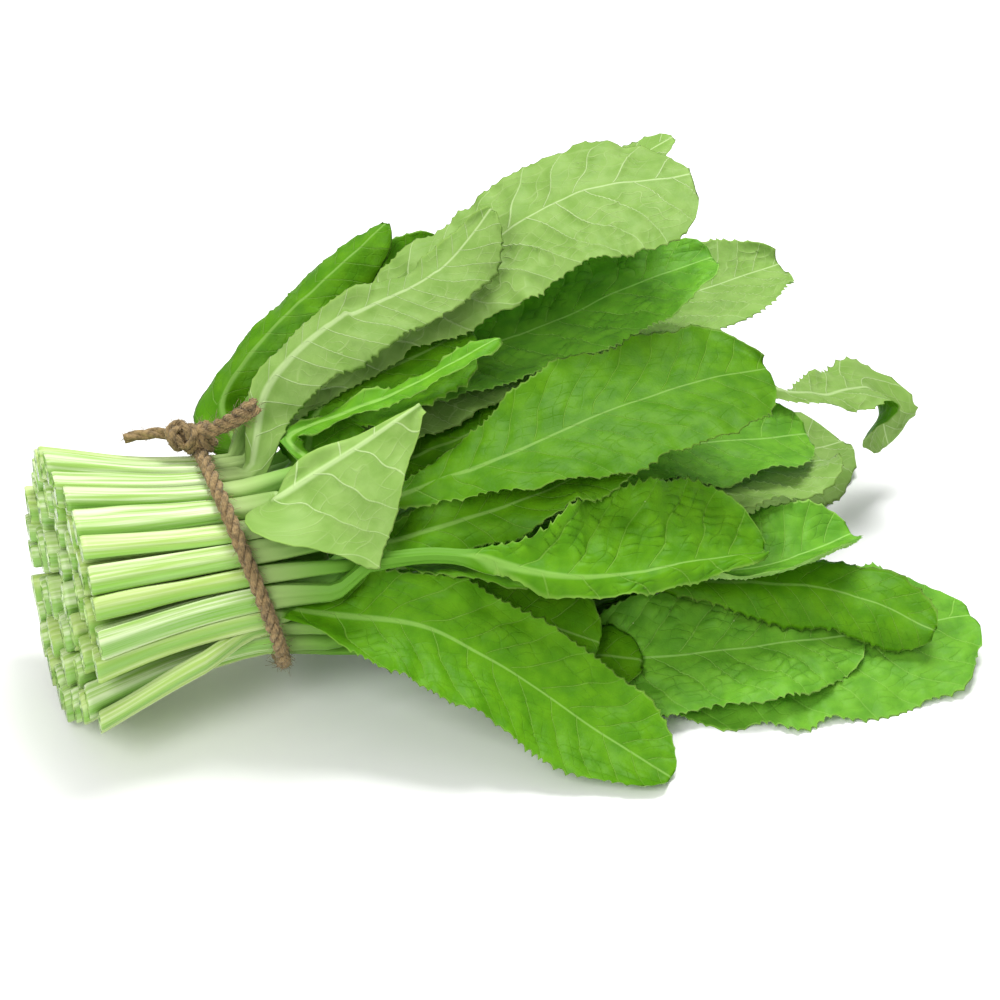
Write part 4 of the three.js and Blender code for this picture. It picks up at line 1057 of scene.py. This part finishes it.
def cord_tree(material):
    """Node tree: three plies twisted round the route, yarns twisted round each ply, and loose fibres."""
    tree = bpy.data.node_groups.new("twisted_cord", "GeometryNodeTree")
    tree.interface.new_socket("Route", in_out="INPUT", socket_type="NodeSocketGeometry")
    tree.interface.new_socket("Cord", in_out="OUTPUT", socket_type="NodeSocketGeometry")
    for name in ("Step", "Cord radius", "Twist pitch", "Yarn pitch", "Fibre density", "Fibre length",
                 "Fibre radius"):
        tree.interface.new_socket(name, in_out="INPUT", socket_type="NodeSocketFloat")
    given = add(tree, "NodeGroupInput").outputs

    def math_(op, a, b=0.0):
        return add(tree, "ShaderNodeMath", {"operation": op, 0: a, 1: b}).outputs[0]

    def vector(op, a, b=(0.0, 0.0, 0.0), scale=1.0):
        return add(tree, "ShaderNodeVectorMath", {"operation": op, 0: a, 1: b, 3: scale}).outputs[0]

    def wind(curves, amount, pitch, away, sense):
        """Copies each curve and winds the copies round it."""
        copies = add(tree, "GeometryNodeDuplicateElements", {
            "domain": "SPLINE", "Geometry": curves, "Amount": amount}).outputs
        along = add(tree, "GeometryNodeSplineParameter").outputs["Factor"]
        length = add(tree, "GeometryNodeSplineLength").outputs["Length"]
        turns = math_("ROUND", math_("DIVIDE", length, pitch))
        angle = math_("MULTIPLY", math_("MULTIPLY", along, turns), 2 * math.pi * sense)
        angle = math_("ADD", angle, math_("MULTIPLY", copies["Duplicate Index"], 2 * math.pi / amount))
        normal = add(tree, "GeometryNodeInputNormal").outputs[0]
        side = vector("CROSS_PRODUCT", add(tree, "GeometryNodeInputTangent").outputs[0], normal)
        away = math_("MULTIPLY", add(tree, "GeometryNodeInputRadius").outputs[0], away)
        out = vector("ADD", vector("SCALE", normal, scale=math_("MULTIPLY", math_("COSINE", angle), away)),
                     vector("SCALE", side, scale=math_("MULTIPLY", math_("SINE", angle), away)))
        wound = add(tree, "GeometryNodeSetPosition", {"Geometry": copies["Geometry"], "Offset": out})
        return wound.outputs[0]

    def sweep(curves, radius, sides):
        ring = add(tree, "GeometryNodeCurvePrimitiveCircle", {"Resolution": sides, "Radius": radius})
        return add(tree, "GeometryNodeCurveToMesh", {
            "Fill Caps": True, "Curve": curves, "Profile Curve": ring.outputs[0]}).outputs[0]

    radius = given["Cord radius"]
    steps = add(tree, "GeometryNodeResampleCurve", {
        "mode": "LENGTH", "Curve": given["Route"], "Length": given["Step"]})
    plies = wind(steps.outputs[0], 3, given["Twist pitch"], math_("MULTIPLY", radius, 0.53), 1)
    core = sweep(plies, math_("MULTIPLY", radius, 0.4), 8)
    yarns = wind(plies, 7, given["Yarn pitch"], math_("MULTIPLY", radius, 0.37), -1)
    shake = add(tree, "ShaderNodeTexNoise", {"Scale": 900.0}).outputs["Color"]
    shake = vector("SCALE", vector("SUBTRACT", shake, (0.5, 0.5, 0.5)), scale=0.0007)
    uneven = add(tree, "GeometryNodeSetPosition", {"Geometry": yarns, "Offset": shake})
    keep = add(tree, "GeometryNodeCaptureAttribute")
    keep.capture_items.new("VECTOR", "along")
    tree.links.new(uneven.outputs[0], keep.inputs["Geometry"])
    tree.links.new(add(tree, "GeometryNodeInputTangent").outputs[0], keep.inputs[1])
    bundle = sweep(keep.outputs["Geometry"], math_("MULTIPLY", radius, 0.135), 4)

    spots = add(tree, "GeometryNodeDistributePointsOnFaces", {
        "Mesh": bundle, "Density": given["Fibre density"], "Seed": 5})
    stray = add(tree, "FunctionNodeRandomValue", {
        "data_type": "FLOAT_VECTOR", 0: (-0.55, -0.55, -0.55), 1: (0.55, 0.55, 0.55), "Seed": 3})
    heading = vector("ADD", vector("SCALE", keep.outputs[1], scale=0.7), stray.outputs[0])
    heading = vector("ADD", heading, vector("SCALE", spots.outputs["Normal"], scale=0.45))
    aim = add(tree, "FunctionNodeAlignRotationToVector", {"axis": "Z", "Vector": heading})
    hair = add(tree, "GeometryNodeCurveQuadraticBezier", {
        "Resolution": 3, "Start": (0, 0, 0), "Middle": (0.0003, 0, 0.5), "End": (0.22, 0.05, 1.0)})
    long = given["Fibre length"]
    size = add(tree, "ShaderNodeCombineXYZ", {0: long, 1: long, 2: long})
    stretch = add(tree, "GeometryNodeTransform", {"Geometry": hair.outputs[0], "Scale": size.outputs[0]})
    fibre = sweep(stretch.outputs[0], given["Fibre radius"], 3)
    vary = add(tree, "FunctionNodeRandomValue", {2: 0.35, 3: 1.3, "Seed": 9})
    place = add(tree, "GeometryNodeInstanceOnPoints", {
        "Points": spots.outputs["Points"], "Instance": fibre, "Rotation": aim.outputs[0],
        "Scale": vary.outputs[1]})

    join = add(tree, "GeometryNodeJoinGeometry")
    for part in (core, bundle, place.outputs[0]):
        tree.links.new(part, join.inputs[0])
    real = add(tree, "GeometryNodeRealizeInstances", {0: join.outputs[0]})
    paint = add(tree, "GeometryNodeSetMaterial", {"Geometry": real.outputs[0], "Material": material})
    add(tree, "NodeGroupOutput", {0: paint.outputs[0]})
    return tree


def build_through(tree, obj, values, name):
    """Runs a node tree on an object and keeps the result as a plain mesh."""
    modifier = obj.modifiers.new(name, "NODES")
    modifier.node_group = tree
    for item in tree.interface.items_tree:
        if item.item_type == "SOCKET" and item.name in values:
            modifier[item.identifier] = values[item.name]
    bpy.context.view_layer.update()
    graph = bpy.context.evaluated_depsgraph_get()
    mesh = bpy.data.meshes.new_from_object(obj.evaluated_get(graph), depsgraph=graph)
    mesh.name = name
    built = bpy.data.objects.new(name, mesh)
    bpy.context.scene.collection.objects.link(built)
    bpy.data.objects.remove(obj)
    return built


def jute_material():
    """Raw jute: dull brown fibres with darker and paler streaks, no shine."""
    material, tree = new_material("raw_jute_fibre")
    coords = add(tree, "ShaderNodeTexCoord").outputs["Object"]
    patch = add(tree, "ShaderNodeTexNoise", {
        "Scale": 420.0, "Detail": 3.0, "Roughness": 0.7, "Vector": coords})
    colour = two_colours(tree, patch.outputs[0], (0.3, "#4f4025"), (0.72, "#a68c5e"))
    shader = add(tree, "ShaderNodeBsdfPrincipled", {
        "Roughness": 0.85, "Sheen Weight": 0.15, "Sheen Roughness": 0.5, "Base Color": colour})
    add(tree, "ShaderNodeOutputMaterial", {"Surface": shader.outputs[0]})
    return material


class LeafSizes(bpy.types.PropertyGroup):
    blade_thickness: FloatProperty(name="Blade thickness", description="Thickness of a leaf blade",
                                   default=0.5 * MM, unit="LENGTH")
    tooth_pitch: FloatProperty(name="Tooth pitch", description="Distance between two teeth of the margin",
                               default=3.7 * MM, unit="LENGTH")
    tooth_depth: FloatProperty(name="Tooth depth", description="How far a tooth stands out",
                               default=1.5 * MM, unit="LENGTH")
    vein_width: FloatProperty(name="Side vein width", description="Half width of a side vein",
                              default=0.75 * MM, unit="LENGTH")
    vein_relief: FloatProperty(name="Side vein relief", description="How far a side vein stands out below",
                               default=0.7 * MM, unit="LENGTH")
    pucker: FloatProperty(name="Pucker", description="How far the blade bulges between its veins",
                          default=1.3 * MM, unit="LENGTH")
    net_width: FloatProperty(name="Net width", description="Distance between two small cross veins",
                             default=4.8 * MM, unit="LENGTH")


class CordSizes(bpy.types.PropertyGroup):
    step: FloatProperty(name="Step", description="Distance between two sections of the cord",
                        default=1.0 * MM, unit="LENGTH")
    twist_pitch: FloatProperty(name="Twist pitch", description="Length of one turn of the plies",
                               default=17.0 * MM, unit="LENGTH")
    yarn_pitch: FloatProperty(name="Yarn pitch", description="Length of one turn of the yarns in a ply",
                              default=13.0 * MM, unit="LENGTH")
    fibre_density: FloatProperty(name="Fibre density", description="Loose fibres on each square metre of yarn",
                                 default=180000.0, min=0.0)
    fibre_length: FloatProperty(name="Fibre length", description="Length of a loose fibre",
                                default=3.4 * MM, unit="LENGTH")
    fibre_radius: FloatProperty(name="Fibre radius", description="Radius of a loose fibre",
                                default=0.06 * MM, unit="LENGTH")


class StageSettings(bpy.types.PropertyGroup):
    lamp_power: FloatProperty(
        name="Lamp power", description="Power of the large soft lamp", default=17.0, min=0.0)
    sky: FloatProperty(
        name="Sky strength", description="Strength of the even light all round", default=0.62, min=0.0)


class GreensSettings(bpy.types.PropertyGroup):
    sizes: PointerProperty(type=LeafSizes)
    cord: PointerProperty(type=CordSizes)
    stage: PointerProperty(type=StageSettings)


class GREENS_OT_leaves(bpy.types.Operator):
    """Build every leafy stem of the bunch"""
    bl_idname = "greens.leaves"
    bl_label = "Leafy stems"

    def execute(self, context):
        props = context.scene.greens
        materials = leaf_materials()
        heights = Heights(0.7)
        for leaf in all_leaves():
            made = fine_leaf(leaf, props.sizes, heights)
            obj = close_leaf(leaf, made, materials)
            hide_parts(leaf["name"])
            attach(obj, "root")
        return {"FINISHED"}


class GREENS_OT_cord(bpy.types.Operator):
    """Build the jute cord that ties the bunch"""
    bl_idname = "greens.cord"
    bl_label = "Jute cord"

    def execute(self, context):
        sizes = context.scene.greens.cord
        knot = cord_knot()
        routes = [
            (cord_ring(), np.full(160, 0.88), True),
            (knot, np.full(len(knot), 0.92), False),
            (smooth_route(TAIL_LEFT, 30), np.linspace(0.8, 0.5, 30), False),
            (smooth_route(TAIL_RIGHT, 40), np.linspace(0.9, 1.15, 40), False),
        ]
        values = {
            "Step": sizes.step, "Cord radius": CORD_RADIUS * MM, "Twist pitch": sizes.twist_pitch,
            "Yarn pitch": sizes.yarn_pitch, "Fibre density": sizes.fibre_density,
            "Fibre length": sizes.fibre_length, "Fibre radius": sizes.fibre_radius,
        }
        tree = cord_tree(jute_material())
        cord = build_through(tree, cord_curve(routes), values, "jute_cord_twisted")
        if not len(cord.data.polygons):
            raise RuntimeError("the cord has no faces")
        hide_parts("jute_tie")
        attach(cord, "root")
        return {"FINISHED"}


class GREENS_OT_stage(bpy.types.Operator):
    """Add the floor, the soft lights and the camera"""
    bl_idname = "greens.stage"
    bl_label = "Stage"

    def execute(self, context):
        props = context.scene.greens.stage
        scene = context.scene
        mesh = bpy.data.meshes.new("floor")
        size = 4.0
        corners = [(-size, -size, 0), (size, -size, 0), (size, size, 0), (-size, size, 0)]
        mesh.from_pydata(corners, [], [(0, 1, 2, 3)])
        floor = bpy.data.objects.new("floor", mesh)
        scene.collection.objects.link(floor)
        material, tree = new_material("matt_white_card")
        shader = add(tree, "ShaderNodeBsdfPrincipled", {"Base Color": (0.93, 0.93, 0.93, 1), "Roughness": 0.9})
        add(tree, "ShaderNodeOutputMaterial", {"Surface": shader.outputs[0]})
        mesh.materials.append(material)

        world = bpy.data.worlds.new("soft_studio")
        world.use_nodes = True
        world.node_tree.nodes["Background"].inputs[0].default_value = (1, 1, 1, 1)
        world.node_tree.nodes["Background"].inputs[1].default_value = props.sky
        scene.world = world
        for name, at, aim, wide, power in (
            ("lamp_top", (0.15, 0.3, 1.3), (0, 0, 0.05), 0.55, 0.95),
            ("lamp_front", (-0.5, -1.0, 0.9), (0, 0, 0.05), 0.6, 0.6),
        ):
            data = bpy.data.lights.new(name, "AREA")
            data.shape = "SQUARE"
            data.size = wide
            data.energy = props.lamp_power * power
            lamp = bpy.data.objects.new(name, data)
            scene.collection.objects.link(lamp)
            lamp.location = at
            direction = np.array(aim) - np.array(at)
            lamp.rotation_euler = look_rotation(direction)
        camera_data = bpy.data.cameras.new("camera")
        camera_data.sensor_width = 36.0
        camera_data.lens = 97.3
        camera_data.clip_end = 20
        camera = bpy.data.objects.new("camera", camera_data)
        scene.collection.objects.link(camera)
        target = np.array((-FOOTPRINT[0], -FOOTPRINT[1], 60.0)) * MM
        rise = math.radians(30)
        away = np.array((0, -math.cos(rise), math.sin(rise)))
        camera.location = target + away * 1.0
        camera.rotation_euler = look_rotation(-away)
        scene.camera = camera
        scene.view_settings.view_transform = "Standard"
        return {"FINISHED"}


def look_rotation(direction):
    return Vector(direction).to_track_quat("-Z", "Y").to_euler()


class GREENS_PT_panel(bpy.types.Panel):
    """Steps of the bunch"""
    bl_idname = "GREENS_PT_panel"
    bl_label = "Mustard greens"
    bl_space_type = "VIEW_3D"
    bl_region_type = "UI"
    bl_category = "Greens"

    def draw(self, context):
        for operator in (GREENS_OT_leaves, GREENS_OT_cord, GREENS_OT_stage):
            self.layout.operator(operator.bl_idname)


CLASSES = (LeafSizes, CordSizes, StageSettings, GreensSettings, GREENS_OT_leaves, GREENS_OT_cord,
           GREENS_OT_stage, GREENS_PT_panel)


def register():
    for cls in CLASSES:
        bpy.utils.register_class(cls)
    bpy.types.Scene.greens = PointerProperty(type=GreensSettings)


def unregister():
    del bpy.types.Scene.greens
    for cls in reversed(CLASSES):
        bpy.utils.unregister_class(cls)


def main():
    register()
    bpy.ops.greens.stage()
    bpy.ops.greens.leaves()
    bpy.ops.greens.cord()


if __name__ == "__main__":
    main()
